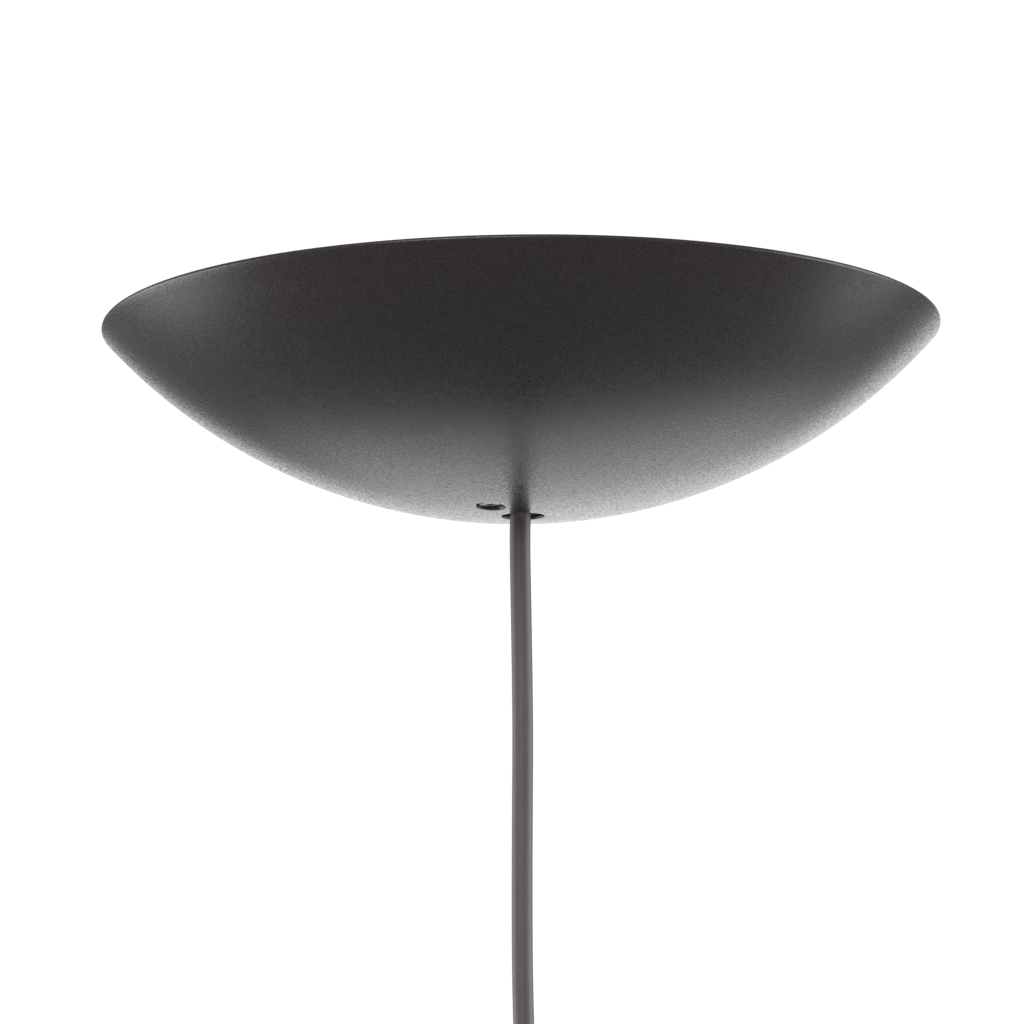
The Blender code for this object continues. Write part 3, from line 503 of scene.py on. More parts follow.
shoulder = screw_low.z + HEAD_HEIGHT
tip = screw_high.z - shoulder
shank_top = tip - POINT
outline = [(0.0, -HEAD_HEIGHT), (head_radius - HEAD_ROUND, -HEAD_HEIGHT)]
outline += arc((head_radius - HEAD_ROUND, -HEAD_HEIGHT + HEAD_ROUND), HEAD_ROUND, -80, 0, 8)
outline += [(head_radius, 0.0)]
outline += thread_rows(M4_RADIUS, 0.0, shank_top, M4_PITCH)
outline += [(M4_RADIUS - POINT, tip), (0.0, tip)]
screw = finish_mesh("canopy_screw", shifted(turned(outline, 40, thread(M4_RADIUS, 0.0, shank_top,
                                                                       M4_PITCH, M4_DEPTH)),
                                            fixing.x, fixing.y, shoulder), coat, sharp=50)
cross = []
for quarter in range(4):
    turn = Matrix.Rotation(math.radians(CROSS_TURN + 90 * quarter), 2)
    cross += [tuple(turn @ Vector(p)) for p in ((CROSS_WIDTH / 2, CROSS_WIDTH / 2),
                                                (CROSS_WIDTH / 2, CROSS_LENGTH / 2),
                                                (-CROSS_WIDTH / 2, CROSS_LENGTH / 2))]
punch = extruded(cross, -2 * HEAD_HEIGHT, -HEAD_HEIGHT + CROSS_DEPTH)
for v in punch.verts:
    if v.co.z > -HEAD_HEIGHT:
        v.co.x *= CROSS_TAPER
        v.co.y *= CROSS_TAPER
carve(screw, shifted(punch, fixing.x, fixing.y, shoulder))
smooth_again(screw)
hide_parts("canopy_fixing_screw")
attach(screw, "fixing_screw")

# The nylon washer under its head keeps the coat from being scored.
# Moulded polyamide 6, black: a soft satin skin with the faint grain of the tool.
NYLON_GRAIN = 0.0006
nylon, tree, shader, place = start_material("moulded_polyamide", 0.42, 0.0, 1.53)
grain = add(tree, "TexNoise", {}, {"Vector": place, "Scale": 1 / NYLON_GRAIN, "Detail": 3.0})
tone = add(tree, "Mix", {"data_type": "RGBA"}, {0: grain.outputs["Fac"],
                                                6: linear("1c1c1d"), 7: linear("2a2a2b")})
tree.links.new(tone.outputs[2], shader.inputs["Base Color"])
rough = add(tree, "MapRange", {}, {"Value": grain.outputs["Fac"], "To Min": 0.36, "To Max": 0.50})
tree.links.new(rough.outputs[0], shader.inputs["Roughness"])
bump = add(tree, "Bump", {}, {"Strength": 0.4, "Distance": 0.00003, "Height": grain.outputs["Fac"]})
tree.links.new(bump.outputs[0], shader.inputs["Normal"])
outline = [(M4_RADIUS + GAP, washer_low.z), (head_radius, washer_low.z),
           (head_radius, washer_high.z), (M4_RADIUS + GAP, washer_high.z)]
washer = finish_mesh("head_washer", shifted(turned(outline, 48), fixing.x, fixing.y, 0), nylon)
soften(washer, 0.00012)
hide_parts("screw_washer")
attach(washer, "fixing_washer")


# ------------------------------------------------------------------ ceiling plate and yoke
# A flat bar, screwed to the ceiling through two slots, and a folded strap bolted under it.
# Both are punched from 1.5 mm cold-rolled strip and zinc plated, which leaves them pale
# grey with a blue passivated bloom, rolling marks along the strip and edges eased by the punch.
STRIP = 0.0015
STRIP_EDGE = 0.00022
BAR_CORNER = 0.005
CUT = 0.004                  # half a cutter's length, well over the strip's thickness
ROLL_MARK_WIDTH = 0.0004
ROLL_MARK_LENGTH = 0.040
BLOOM = 0.012
zinc, tree, shader, place = start_material("zinc_plated_steel", 0.32, 1.0, 1.5)
along = add(tree, "Mapping", {}, {"Vector": place, "Scale": (1 / ROLL_MARK_LENGTH,
                                                             1 / ROLL_MARK_WIDTH,
                                                             1 / ROLL_MARK_WIDTH)})
mark = add(tree, "TexNoise", {}, {"Vector": along.outputs[0], "Scale": 1.0, "Detail": 4.0})
bloom = add(tree, "TexNoise", {}, {"Vector": place, "Scale": 1 / BLOOM, "Detail": 3.0})
tone = add(tree, "Mix", {"data_type": "RGBA"}, {0: bloom.outputs["Fac"],
                                                6: linear("a6abb1"), 7: linear("c3c3bd")})
tree.links.new(tone.outputs[2], shader.inputs["Base Color"])
rough = add(tree, "MapRange", {}, {"Value": mark.outputs["Fac"], "From Min": 0.3,
                                   "From Max": 0.7, "To Min": 0.24, "To Max": 0.42})
tree.links.new(rough.outputs[0], shader.inputs["Roughness"])
bump = add(tree, "Bump", {}, {"Strength": 0.35, "Distance": 0.00003, "Height": mark.outputs["Fac"]})
tree.links.new(bump.outputs[0], shader.inputs["Normal"])

SLOT_X = 0.0640
SLOT_LENGTH = 0.010
SLOT_WIDTH = 0.005
WIRE_HOLE_X = -0.024
WIRE_HOLE = 0.008
YOKE_SCREW_X = 0.0525
TAPPED = 0.00235
plate_low, plate_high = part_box("ceiling_plate")


def drill(radius, low, high, steps=32):
    """A round cutter between two heights."""
    return turned([(0, low), (radius, low), (radius, high), (0, high)], steps)


half_long, half_wide = plate_high.x, plate_high.y
outline = []
for sx, sy, start in ((1, 1, 0), (-1, 1, 90), (-1, -1, 180), (1, -1, 270)):
    middle = (sx * (half_long - BAR_CORNER), sy * (half_wide - BAR_CORNER))
    outline += arc(middle, BAR_CORNER, start, start + 90, 10)
plate = finish_mesh("ceiling_bar", extruded(outline, plate_low.z, plate_high.z), zinc)
straight = (SLOT_LENGTH - SLOT_WIDTH) / 2
for side in (-1, 1):
    slot = arc((0, straight), SLOT_WIDTH / 2, 0, 180, 16)
    slot += arc((0, -straight), SLOT_WIDTH / 2, 180, 360, 16)
    carve(plate, shifted(extruded(slot, -CUT, CUT), side * SLOT_X, 0, 0))
    carve(plate, shifted(drill(TAPPED, -CUT, CUT), side * YOKE_SCREW_X, 0, 0))
carve(plate, shifted(drill(WIRE_HOLE, -CUT, CUT, 48), WIRE_HOLE_X, 0, 0))
soften(plate, STRIP_EDGE)
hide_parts("ceiling_plate")
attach(plate, "root")

LEG_X = 0.046
BEND = 0.0015
EARTH_X = -0.028
STEM_HOLE = 0.0054
NUT_HOLE = 0.0037
BLOCK_HOLE = (0.028, 0.0135, 0.00185)
yoke_low, yoke_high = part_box("bracket_yoke")


def folded(corners, thickness, inner, count=10):
    """Outline of a folded strap: a centre line of corners with round bends."""
    middle = inner + thickness / 2
    path = [Vector(c) for c in corners]
    line = [(path[0], (path[1] - path[0]).normalized())]
    for before, knee, after in zip(path, path[1:], path[2:]):
        arrive = (knee - before).normalized()
        leave = (after - knee).normalized()
        turn = arrive.angle_signed(leave)
        side = -1 if turn > 0 else 1
        inward = Vector((-arrive.y, arrive.x)) * side
        pivot = knee - arrive * middle * math.tan(abs(turn) / 2) + inward * middle
        for i in range(count + 1):
            spin = Matrix.Rotation(-turn * i / count, 2)
            line.append((pivot - spin @ inward * middle, spin @ arrive))
    line.append((path[-1], (path[-1] - path[-2]).normalized()))
    faces = [[tuple(p + Vector((-d.y, d.x)) * sign * thickness / 2) for p, d in line]
             for sign in (1, -1)]
    return faces[0] + faces[1][::-1]


TO_Y = Matrix.Rotation(math.radians(90), 4, "X")
strap_top = yoke_high.z - STRIP / 2
strap_low = yoke_low.z + STRIP / 2
reach = yoke_high.x
corners = [(-reach, strap_top), (-LEG_X, strap_top), (-LEG_X, strap_low), (LEG_X, strap_low),
           (LEG_X, strap_top), (reach, strap_top)]
yoke = finish_mesh("folded_yoke", extruded(folded(corners, STRIP, BEND), yoke_low.y, yoke_high.y,
                                           TO_Y), zinc)
for x, y, radius in ((0, 0, STEM_HOLE), (fixing.x, fixing.y, NUT_HOLE), (EARTH_X, 0, TAPPED),
                     BLOCK_HOLE):
    carve(yoke, shifted(drill(radius, -CUT, CUT, 40), x, y, strap_low))
for side in (-1, 1):
    carve(yoke, shifted(drill(TAPPED, -CUT, CUT), side * YOKE_SCREW_X, 0, strap_top))
soften(yoke, STRIP_EDGE)
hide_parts("bracket_yoke")
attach(yoke, "root")


# ------------------------------------------------------------------ steel fasteners
# Cold-headed screws with rolled threads and a sawn slot, and the nut that is clinched into
# the web. All are barrel plated in zinc, so they are a little brighter than the strip.
BARREL_GRAIN = 0.0008
SAW_HALF = 0.0004            # half the width of a sawn slot
HEAD_CROWN = 0.0006          # rounding of a pan head
ROLL_DEPTH = 0.42            # a rolled thread's depth, as a share of its pitch
barrel_zinc, tree, shader, place = start_material("barrel_plated_zinc", 0.26, 1.0, 1.5)
grain = add(tree, "TexNoise", {}, {"Vector": place, "Scale": 1 / BARREL_GRAIN, "Detail": 4.0})
tone = add(tree, "Mix", {"data_type": "RGBA"}, {0: grain.outputs["Fac"],
                                                6: linear("adb3ba"), 7: linear("cfcfc9")})
tree.links.new(tone.outputs[2], shader.inputs["Base Color"])
rough = add(tree, "MapRange", {}, {"Value": grain.outputs["Fac"], "To Min": 0.18, "To Max": 0.36})
tree.links.new(rough.outputs[0], shader.inputs["Roughness"])
bump = add(tree, "Bump", {}, {"Strength": 0.3, "Distance": 0.00002, "Height": grain.outputs["Fac"]})
tree.links.new(bump.outputs[0], shader.inputs["Normal"])


def oblong(half_x, half_y):
    """A rectangle's corners about the middle."""
    return [(-half_x, -half_y), (half_x, -half_y), (half_x, half_y), (-half_x, half_y)]


def pan_head_screw(name, node, head, height, radius, pitch, up, slot_turn):
    """A slotted pan-head screw in a CAD screw's place. Up is 1 where its head is on top."""
    low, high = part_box(node)
    shank = high.z - low.z - height
    outline = [(0.0, height)]
    outline += arc((head - HEAD_CROWN, height - HEAD_CROWN), HEAD_CROWN, 84, 0, 7)
    outline += [(head, 0.0)] + thread_rows(radius, -shank, 0.0, pitch)[::-1] + [(0.0, -shank)]
    bm = turned(outline, 36, thread(radius, -shank, 0.0, pitch, ROLL_DEPTH * pitch))
    slot = extruded(oblong(2 * head, SAW_HALF), height / 2, 2 * height,
                    Matrix.Rotation(math.radians(slot_turn), 4, "Z"))
    seat = low.z + shank if up > 0 else high.z - shank
    for shape in (bm, slot):
        if up < 0:
            shape.transform(Matrix.Rotation(math.pi, 4, "X"))
        shifted(shape, (low.x + high.x) / 2, (low.y + high.y) / 2, seat)
    made = finish_mesh(name, bm, barrel_zinc, sharp=50)
    carve(made, slot)
    smooth_again(made)
    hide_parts(node)
    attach(made, "root")
    return made


M4_HEAD = 0.0036
M3_HEAD = 0.0027
M3_HEAD_HEIGHT = 0.0020
M3_RADIUS = 0.00145
M3_PITCH = 0.0005
M4 = (M4_HEAD, HEAD_HEIGHT, M4_RADIUS, M4_PITCH)
M3 = (M3_HEAD, M3_HEAD_HEIGHT, M3_RADIUS, M3_PITCH)
pan_head_screw("yoke_bolt_left", "yoke_screw_left", *M4, -1, 24)
pan_head_screw("yoke_bolt_right", "yoke_screw_right", *M4, -1, -41)
pan_head_screw("earth_bolt", "earth_screw", *M4, 1, 67)
pan_head_screw("block_bolt", "block_screw", *M3, 1, 12)

low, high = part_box("earth_washer")
outline = [(TAPPED, low.z), (high.y, low.z), (high.y, high.z), (TAPPED, high.z)]
cup_washer = finish_mesh("earth_cup_washer", shifted(turned(outline, 48), EARTH_X, 0, 0),
                         barrel_zinc)
soften(cup_washer, 0.0002)
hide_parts("earth_washer")
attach(cup_washer, "root")

NUT_SPIGOT = 0.0034
low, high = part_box("clinch_nut")
nut_flange = (high.x - low.x) / 2
web_top = strap_low + STRIP / 2 + GAP
outline = [(TAPPED, low.z), (NUT_SPIGOT, low.z), (NUT_SPIGOT, web_top), (nut_flange, web_top),
           (nut_flange, high.z), (TAPPED, high.z)]
nut = finish_mesh("clinched_nut", shifted(turned(outline, 48), fixing.x, fixing.y, 0), barrel_zinc)
soften(nut, 0.0002)
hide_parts("clinch_nut")
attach(nut, "root")


# ------------------------------------------------------------------ cable gland
# A nylon gland grips the flex over the web: a body through the hole, a lock nut under it,
# and a rubber seal that the cap nut squeezes onto the sheath.
FLEX_BORE = 0.0033
GLAND_STEM = 0.0050
GLAND_THREAD = 0.0056
GLAND_PITCH = 0.0015
GLAND_DEPTH = 0.0005         # of its thread
GLAND_FLANGE = 0.0035
GLAND_FLATS = 0.0075
NUT_CROWN = 0.0006
body_low, body_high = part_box("gland_body")
flange_top = web_top + GLAND_FLANGE
outline = [(FLEX_BORE, body_low.z), (GLAND_STEM, body_low.z), (GLAND_STEM, web_top),
           (body_high.x, web_top), (body_high.x, flange_top)]
outline += thread_rows(GLAND_THREAD, flange_top, body_high.z, GLAND_PITCH)
outline += [(FLEX_BORE, body_high.z)]
gland = finish_mesh("gland_stem", turned(outline, 64, thread(GLAND_THREAD, flange_top, body_high.z,
                                                             GLAND_PITCH, GLAND_DEPTH)), nylon)
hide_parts("gland_body")
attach(gland, "root")


def hex_nut(name, node, bores):
    """A chamfered hexagon nut in a CAD nut's place, bored to (radius, low, high) steps."""
    low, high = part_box(node)
    corner_reach = GLAND_FLATS / math.cos(math.radians(30))
    hexagon = arc((0, 0), corner_reach, 0, 300, 6)
    made = finish_mesh(name, extruded(hexagon, low.z, high.z), nylon)
    outline = [(0.0, low.z), (GLAND_FLATS, low.z), (corner_reach, low.z + NUT_CROWN),
               (corner_reach, high.z - NUT_CROWN), (GLAND_FLATS, high.z), (0.0, high.z)]
    carve(made, turned(outline, 64), "INTERSECT")
    for radius, bottom, top in bores:
        carve(made, drill(radius, bottom, top, 48))
    soften(made, 0.00018)
    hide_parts(node)
    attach(made, "root")


low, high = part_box("gland_locknut")
hex_nut("lock_nut", "gland_locknut", [(STEM_HOLE, low.z - 0.001, high.z + 0.001)])
seal_low, seal_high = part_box("gland_seal")
low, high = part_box("gland_cap_nut")
hex_nut("cap_nut", "gland_cap_nut", [(GLAND_THREAD + 0.0004, low.z - 0.001, seal_high.z + GAP),
                                     (FLEX_BORE, low.z, high.z + 0.001)])

# Moulded nitrile rubber: dead black and matt, with the dust it picks up in a ceiling.
RUBBER_DUST = 0.0015
rubber, tree, shader, place = start_material("nitrile_rubber", 0.72, 0.0, 1.52)
dust = add(tree, "TexNoise", {}, {"Vector": place, "Scale": 1 / RUBBER_DUST, "Detail": 5.0})
tone = add(tree, "Mix", {"data_type": "RGBA"}, {0: dust.outputs["Fac"],
                                                6: linear("191919"), 7: linear("2e2d2b")})
tree.links.new(tone.outputs[2], shader.inputs["Base Color"])
bump = add(tree, "Bump", {}, {"Strength": 0.4, "Distance": 0.00005, "Height": dust.outputs["Fac"]})
tree.links.new(bump.outputs[0], shader.inputs["Normal"])
outline = [(FLEX_BORE, seal_low.z), (seal_high.x, seal_low.z), (seal_high.x, seal_high.z),
           (FLEX_BORE, seal_high.z)]
seal = finish_mesh("seal_ring", turned(outline, 48), rubber)
soften(seal, 0.0004)
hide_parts("gland_seal")
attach(seal, "root")


# ------------------------------------------------------------------ terminal block
# Two brass tubes in a moulded housing, each with a clamp screw for the lamp's core and one
# for the supply's. One machine screw through its ear holds it on the web.
BLOCK_X = 0.028
BLOCK_HALF = 0.008
BLOCK_SIDE = 0.010
EAR_HEIGHT = 0.003
GROOVE_HALF = 0.001          # half the width of the groove between the poles
POLE_Y = 0.0055
TUBE_BORE = 0.0015
CLAMP_X = 0.0040
CLAMP_RADIUS = 0.0014
CLAMP_CHAMFER = 0.0003
SCREW_WELL = 0.0004          # air round a screw in a moulding
HOUSING_CLOUD = 0.004
MOULD_GRAIN = 0.0005         # fine grain left by the mould
# Natural polyamide housing: creamy, slightly translucent, with a soft satin face.
housing, tree, shader, place = start_material("natural_polyamide_housing", 0.42, 0.0, 1.53)
shader.inputs["Subsurface Weight"].default_value = 0.25
shader.inputs["Subsurface Radius"].default_value = (0.0012, 0.0010, 0.0007)
shader.inputs["Subsurface Scale"].default_value = 1.0
cloud = add(tree, "TexNoise", {}, {"Vector": place, "Scale": 1 / HOUSING_CLOUD, "Detail": 3.0})
tone = add(tree, "Mix", {"data_type": "RGBA"}, {0: cloud.outputs["Fac"],
                                                6: linear("dedac9"), 7: linear("ebe8da")})
tree.links.new(tone.outputs[2], shader.inputs["Base Color"])
skin = add(tree, "TexNoise", {}, {"Vector": place, "Scale": 1 / MOULD_GRAIN, "Detail": 2.0})
bump = add(tree, "Bump", {}, {"Strength": 0.3, "Distance": 0.00003, "Height": skin.outputs["Fac"]})
tree.links.new(bump.outputs[0], shader.inputs["Normal"])
low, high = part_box("terminal_block")
ear_top = low.z + EAR_HEIGHT
groove_floor = (low.z + high.z) / 2
outline = [(-BLOCK_SIDE, low.z), (high.y, low.z), (high.y, ear_top), (BLOCK_SIDE, ear_top),
           (BLOCK_SIDE, high.z), (GROOVE_HALF, high.z), (GROOVE_HALF, groove_floor),
           (-GROOVE_HALF, groove_floor), (-GROOVE_HALF, high.z), (-BLOCK_SIDE, high.z)]
TO_X = Matrix(((0, 0, 1, 0), (1, 0, 0, 0), (0, 1, 0, 0), (0, 0, 0, 1)))
block = finish_mesh("terminal_housing", extruded(outline, low.x, high.x, TO_X), housing)
hole_x, hole_y, hole_radius = BLOCK_HOLE
carve(block, shifted(drill(hole_radius, -0.002, 0.006), hole_x, hole_y, low.z))
# Turned brass: warm yellow with the lathe's fine tool marks, dulled a little by handling.
TURNING = 0.00012
TARNISH = 0.003
brass, tree, shader, place = start_material("turned_brass", 0.24, 1.0, 1.5)
wave = add(tree, "TexNoise", {}, {"Vector": place, "Scale": 1 / TURNING, "Detail": 1.0})
tarnish = add(tree, "TexNoise", {}, {"Vector": place, "Scale": 1 / TARNISH, "Detail": 4.0})
tone = add(tree, "Mix", {"data_type": "RGBA"}, {0: tarnish.outputs["Fac"],
                                                6: linear("d9b25c"), 7: linear("e9cd84")})
tree.links.new(tone.outputs[2], shader.inputs["Base Color"])
rough = add(tree, "MapRange", {}, {"Value": tarnish.outputs["Fac"], "To Min": 0.34, "To Max": 0.16})
tree.links.new(rough.outputs[0], shader.inputs["Roughness"])
bump = add(tree, "Bump", {}, {"Strength": 0.2, "Distance": 0.00001, "Height": wave.outputs["Fac"]})
tree.links.new(bump.outputs[0], shader.inputs["Normal"])
for pole, y in (("live", -POLE_Y), ("neutral", POLE_Y)):
    low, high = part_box("terminal_tube_" + pole)
    middle_z = (low.z + high.z) / 2
    tube_radius = (high.y - low.y) / 2
    half = (high.x - low.x) / 2
    bore = drill(tube_radius + GAP, -0.02, 0.02, 40)
    bore.transform(TO_X)
    carve(block, shifted(bore, BLOCK_X, y, middle_z))
    outline = [(TUBE_BORE, -half), (tube_radius, -half), (tube_radius, half), (TUBE_BORE, half)]
    pipe = turned(outline, 48)
    pipe.transform(TO_X)
    tube = finish_mesh("brass_tube_" + pole, shifted(pipe, BLOCK_X, y, middle_z), brass)
    for place_name, x in (("lamp", -CLAMP_X), ("supply", CLAMP_X)):
        carve(block, shifted(drill(CLAMP_RADIUS + SCREW_WELL, 0, 0.02), BLOCK_X + x, y, middle_z))
        carve(tube, shifted(drill(CLAMP_RADIUS + GAP, 0, 0.01), BLOCK_X + x, y, middle_z))
        low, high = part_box(f"clamp_screw_{pole}_{place_name}")
        tall = high.z - low.z
        outline = [(0.0, 0.0), (CLAMP_RADIUS - CLAMP_CHAMFER, 0.0)]
        outline += thread_rows(CLAMP_RADIUS, CLAMP_CHAMFER, tall - 0.0002, M3_PITCH)
        outline += [(CLAMP_RADIUS - 0.0002, tall), (0.0, tall)]
        clamp = finish_mesh(f"clamp_{pole}_{place_name}",
                            shifted(turned(outline, 28, thread(CLAMP_RADIUS, CLAMP_CHAMFER, tall - 0.0002,
                                                               M3_PITCH, 0.0002)),
                                    BLOCK_X + x, y, low.z), barrel_zinc, sharp=50)
        slot = extruded(oblong(0.003, 0.0003), tall - 0.0006, tall + 0.002,
                        Matrix.Rotation(math.radians(90 * (pole == "live") + 3000 * x), 4, "Z"))
        carve(clamp, shifted(slot, BLOCK_X + x, y, low.z))
        smooth_again(clamp)
        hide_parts(f"clamp_screw_{pole}_{place_name}")
        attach(clamp, "root")
    soften(tube, 0.00015)
    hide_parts("terminal_tube_" + pole)
    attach(tube, "root")
soften(block, 0.0003)
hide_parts("terminal_block")
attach(block, "root")


# ------------------------------------------------------------------ cores
# The flex's two insulated cores, bent over by hand from its stripped end into the tubes.
# Extruded PVC, brown for live and blue for neutral, with a soft gloss.
CORE_DIAMETER = 0.0022
CORE_SPACING = 0.0013
CORE_GRAIN = 0.0007
core_coats = {}
for pole, dark, pale, name in (("live", "4e2a17", "64391f", "brown_pvc_insulation"),
                               ("neutral", "1d5fae", "2a72c4", "blue_pvc_insulation")):
    coat_of_core, tree, shader, place = start_material(name, 0.36, 0.0, 1.53)
    grain = add(tree, "TexNoise", {}, {"Vector": place, "Scale": 1 / CORE_GRAIN, "Detail": 3.0})
    tone = add(tree, "Mix", {"data_type": "RGBA"}, {0: grain.outputs["Fac"], 6: linear(dark),
                                                    7: linear(pale)})
    tree.links.new(tone.outputs[2], shader.inputs["Base Color"])
    bump = add(tree, "Bump", {}, {"Strength": 0.25, "Distance": 0.00002,
                                  "Height": grain.outputs["Fac"]})
    tree.links.new(bump.outputs[0], shader.inputs["Normal"])
    core_coats[pole] = coat_of_core
flex_top = FLEX_ROUTE[0][2] + GAP
tube_low, tube_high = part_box("terminal_tube_live")
pole_z = (tube_low.z + tube_high.z) / 2
entry = BLOCK_X - BLOCK_HALF
for pole, side in (("live", -1), ("neutral", 1)):
    y0, y1 = side * CORE_SPACING, side * POLE_Y
    route = [(0, y0, flex_top), (0.0002, y0, flex_top + 0.0040),
             (0.0030, y0 * 1.3, flex_top + 0.0085), (0.0080, (y0 + y1) / 2, flex_top + 0.0090),
             (0.0118, y1 * 0.92, flex_top + 0.0045), (0.0125, y1, flex_top - 0.0030),
             (0.0140, y1, pole_z + 0.0028), (entry - 0.0028, y1, pole_z),
             (entry + 0.0020, y1, pole_z), (entry + 0.0060, y1, pole_z)]
    core = lead("core_" + pole, route, CORE_DIAMETER, core_coats[pole], 70)
    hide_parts(pole + "_core")
    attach(core, "root")


# ------------------------------------------------------------------ lampholder
# A two-piece moulded lampholder grips the flex's lower end: a domed cap whose neck takes
# the lead, and a body with a threaded skirt for the ring that holds a shade.
HOLDER_WALL = 0.0022
NECK = 0.0080
NECK_HEIGHT = 0.0090
CAP_SHOULDER = 0.0260
CAP_ROOF = 0.0120
CAP_HOLLOW = 0.0068          # the hollow's shoulder above the cap's full width
CAP_THROAT = 0.0020          # depth of the hollow's narrow top
HOLLOW_SHARES = (0.86, 0.5, 0.4)   # its radius at each step up, as shares of its widest
GROOVE_DEPTH = 0.0004        # of the line round the cap's lower edge
SKIRT = 0.0194
SKIRT_WALL = 0.0024
COLLAR = 0.0040
SKIRT_PITCH = 0.0025
SKIRT_DEPTH = 0.0008         # of its thread
SKIRT_LEAD = 0.0006          # how far short of the skirt's ends its thread stops
LEDGE = 0.0146               # bore of the ledge that the contacts' disc stands on
LEDGE_HEIGHT = 0.0020
HOLDER_EDGE = 0.0003         # chamfer of the moulding's edges
# Moulded phenolic: near black, with a soft shine that varies with the flow, and a fine grain.
FLOW = 0.0050
phenolic, tree, shader, place = start_material("moulded_phenolic", 0.30, 0.0, 1.58)
flow = add(tree, "TexNoise", {}, {"Vector": place, "Scale": 1 / FLOW, "Detail": 5.0,
                                  "Distortion": 0.6})
skin = add(tree, "TexNoise", {}, {"Vector": place, "Scale": 1 / MOULD_GRAIN, "Detail": 2.0})
tone = add(tree, "Mix", {"data_type": "RGBA"}, {0: flow.outputs["Fac"], 6: linear("1b1a1a"),
                                                7: linear("2c2a2a")})
tree.links.new(tone.outputs[2], shader.inputs["Base Color"])
rough = add(tree, "MapRange", {}, {"Value": flow.outputs["Fac"], "From Min": 0.3,
                                   "From Max": 0.7, "To Min": 0.24, "To Max": 0.38})
tree.links.new(rough.outputs[0], shader.inputs["Roughness"])
bump = add(tree, "Bump", {}, {"Strength": 0.3, "Distance": 0.00003, "Height": skin.outputs["Fac"]})
tree.links.new(bump.outputs[0], shader.inputs["Normal"])

cap_low, cap_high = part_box("holder_cap")
holder_x = (cap_low.x + cap_high.x) / 2
holder_radius = (cap_high.x - cap_low.x) / 2
top = cap_high.z
drop = CAP_SHOULDER - NECK_HEIGHT
inside = holder_radius - HOLDER_WALL
outline = [(FLEX_BORE, top)] + arc((NECK - 0.0010, top - 0.0010), 0.0010, 90, 0, 6)
outline += [(NECK, top - NECK_HEIGHT + 0.0004)]
for a in np.radians(np.linspace(4, 90, 24)):
    outline.append((NECK + (holder_radius - NECK) * math.sin(a),
                    top - NECK_HEIGHT - drop * (1 - math.cos(a))))
outline += [(holder_radius, z) for z in (cap_low.z + 0.0030, cap_low.z + 0.0026)]
outline += [(holder_radius - GROOVE_DEPTH, cap_low.z + 0.0022),
            (holder_radius - GROOVE_DEPTH, cap_low.z + 0.0018),
            (holder_radius, cap_low.z + 0.0014), (holder_radius, cap_low.z + HOLDER_EDGE),
            (holder_radius - HOLDER_EDGE, cap_low.z), (inside, cap_low.z)]
outline += [(inside, top - CAP_SHOULDER),
            (inside * HOLLOW_SHARES[0], top - CAP_SHOULDER + CAP_HOLLOW),
            (inside * HOLLOW_SHARES[1], top - CAP_ROOF - CAP_THROAT),
            (inside * HOLLOW_SHARES[2], top - CAP_ROOF), (FLEX_BORE, top - CAP_ROOF)]
cap = finish_mesh("holder_dome", shifted(turned(outline, 96), holder_x, 0, 0), phenolic)
grip_low, grip_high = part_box("holder_grip_screw")
grip_z = (grip_low.z + grip_high.z) / 2
hole = drill(M3_RADIUS + GAP, -0.001, 0.02)
hole.transform(TO_X)
carve(cap, shifted(hole, holder_x, 0, grip_z))
smooth_again(cap, 40)
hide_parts("holder_cap")
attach(cap, "root")

long = grip_high.x - grip_low.x
outline = [(0.0, 0.0), (M3_RADIUS - 0.0003, 0.0)]
outline += thread_rows(M3_RADIUS, 0.0003, long - 0.0003, M3_PITCH)
outline += [(M3_RADIUS - 0.0002, long), (0.0, long)]
grub = turned(outline, 32, thread(M3_RADIUS, 0.0003, long - 0.0003, M3_PITCH, 0.0002))
grub.transform(TO_X)
grip = finish_mesh("grip_screw", shifted(grub, grip_low.x, 0, grip_z), barrel_zinc, sharp=50)
slot = extruded(oblong(SAW_HALF, 0.003), long - 0.0008, long + 0.002, TO_X)
carve(grip, shifted(slot, grip_low.x, 0, grip_z))
smooth_again(grip)
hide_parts("holder_grip_screw")
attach(grip, "root")

body_low, body_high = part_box("holder_body")
collar_top = cap_low.z - GAP
skirt_top = collar_top - COLLAR
insert_low, insert_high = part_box("holder_insert")
bore = SKIRT - SKIRT_WALL
spigot = inside - 0.0004
ledge_top = insert_low.z - GAP
thread_low, thread_high = body_low.z + SKIRT_LEAD, skirt_top - SKIRT_LEAD
outline = [(bore, body_low.z), (SKIRT - SKIRT_LEAD, body_low.z)]
outline += thread_rows(SKIRT, thread_low, thread_high, SKIRT_PITCH)
outline += [(SKIRT, skirt_top), (holder_radius - HOLDER_EDGE, skirt_top),
            (holder_radius, skirt_top + HOLDER_EDGE), (holder_radius, collar_top - HOLDER_EDGE),
            (holder_radius - HOLDER_EDGE, collar_top), (spigot, collar_top), (spigot, body_high.z),
            (bore, body_high.z), (bore, ledge_top), (LEDGE, ledge_top),
            (LEDGE, ledge_top - LEDGE_HEIGHT), (bore, ledge_top - LEDGE_HEIGHT)]
body = finish_mesh("holder_barrel", shifted(turned(outline, 96, thread(SKIRT, thread_low,
                                                                       thread_high, SKIRT_PITCH,
                                                                       SKIRT_DEPTH)),
                                            holder_x, 0, 0), phenolic, sharp=40)
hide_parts("holder_body")
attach(body, "root")


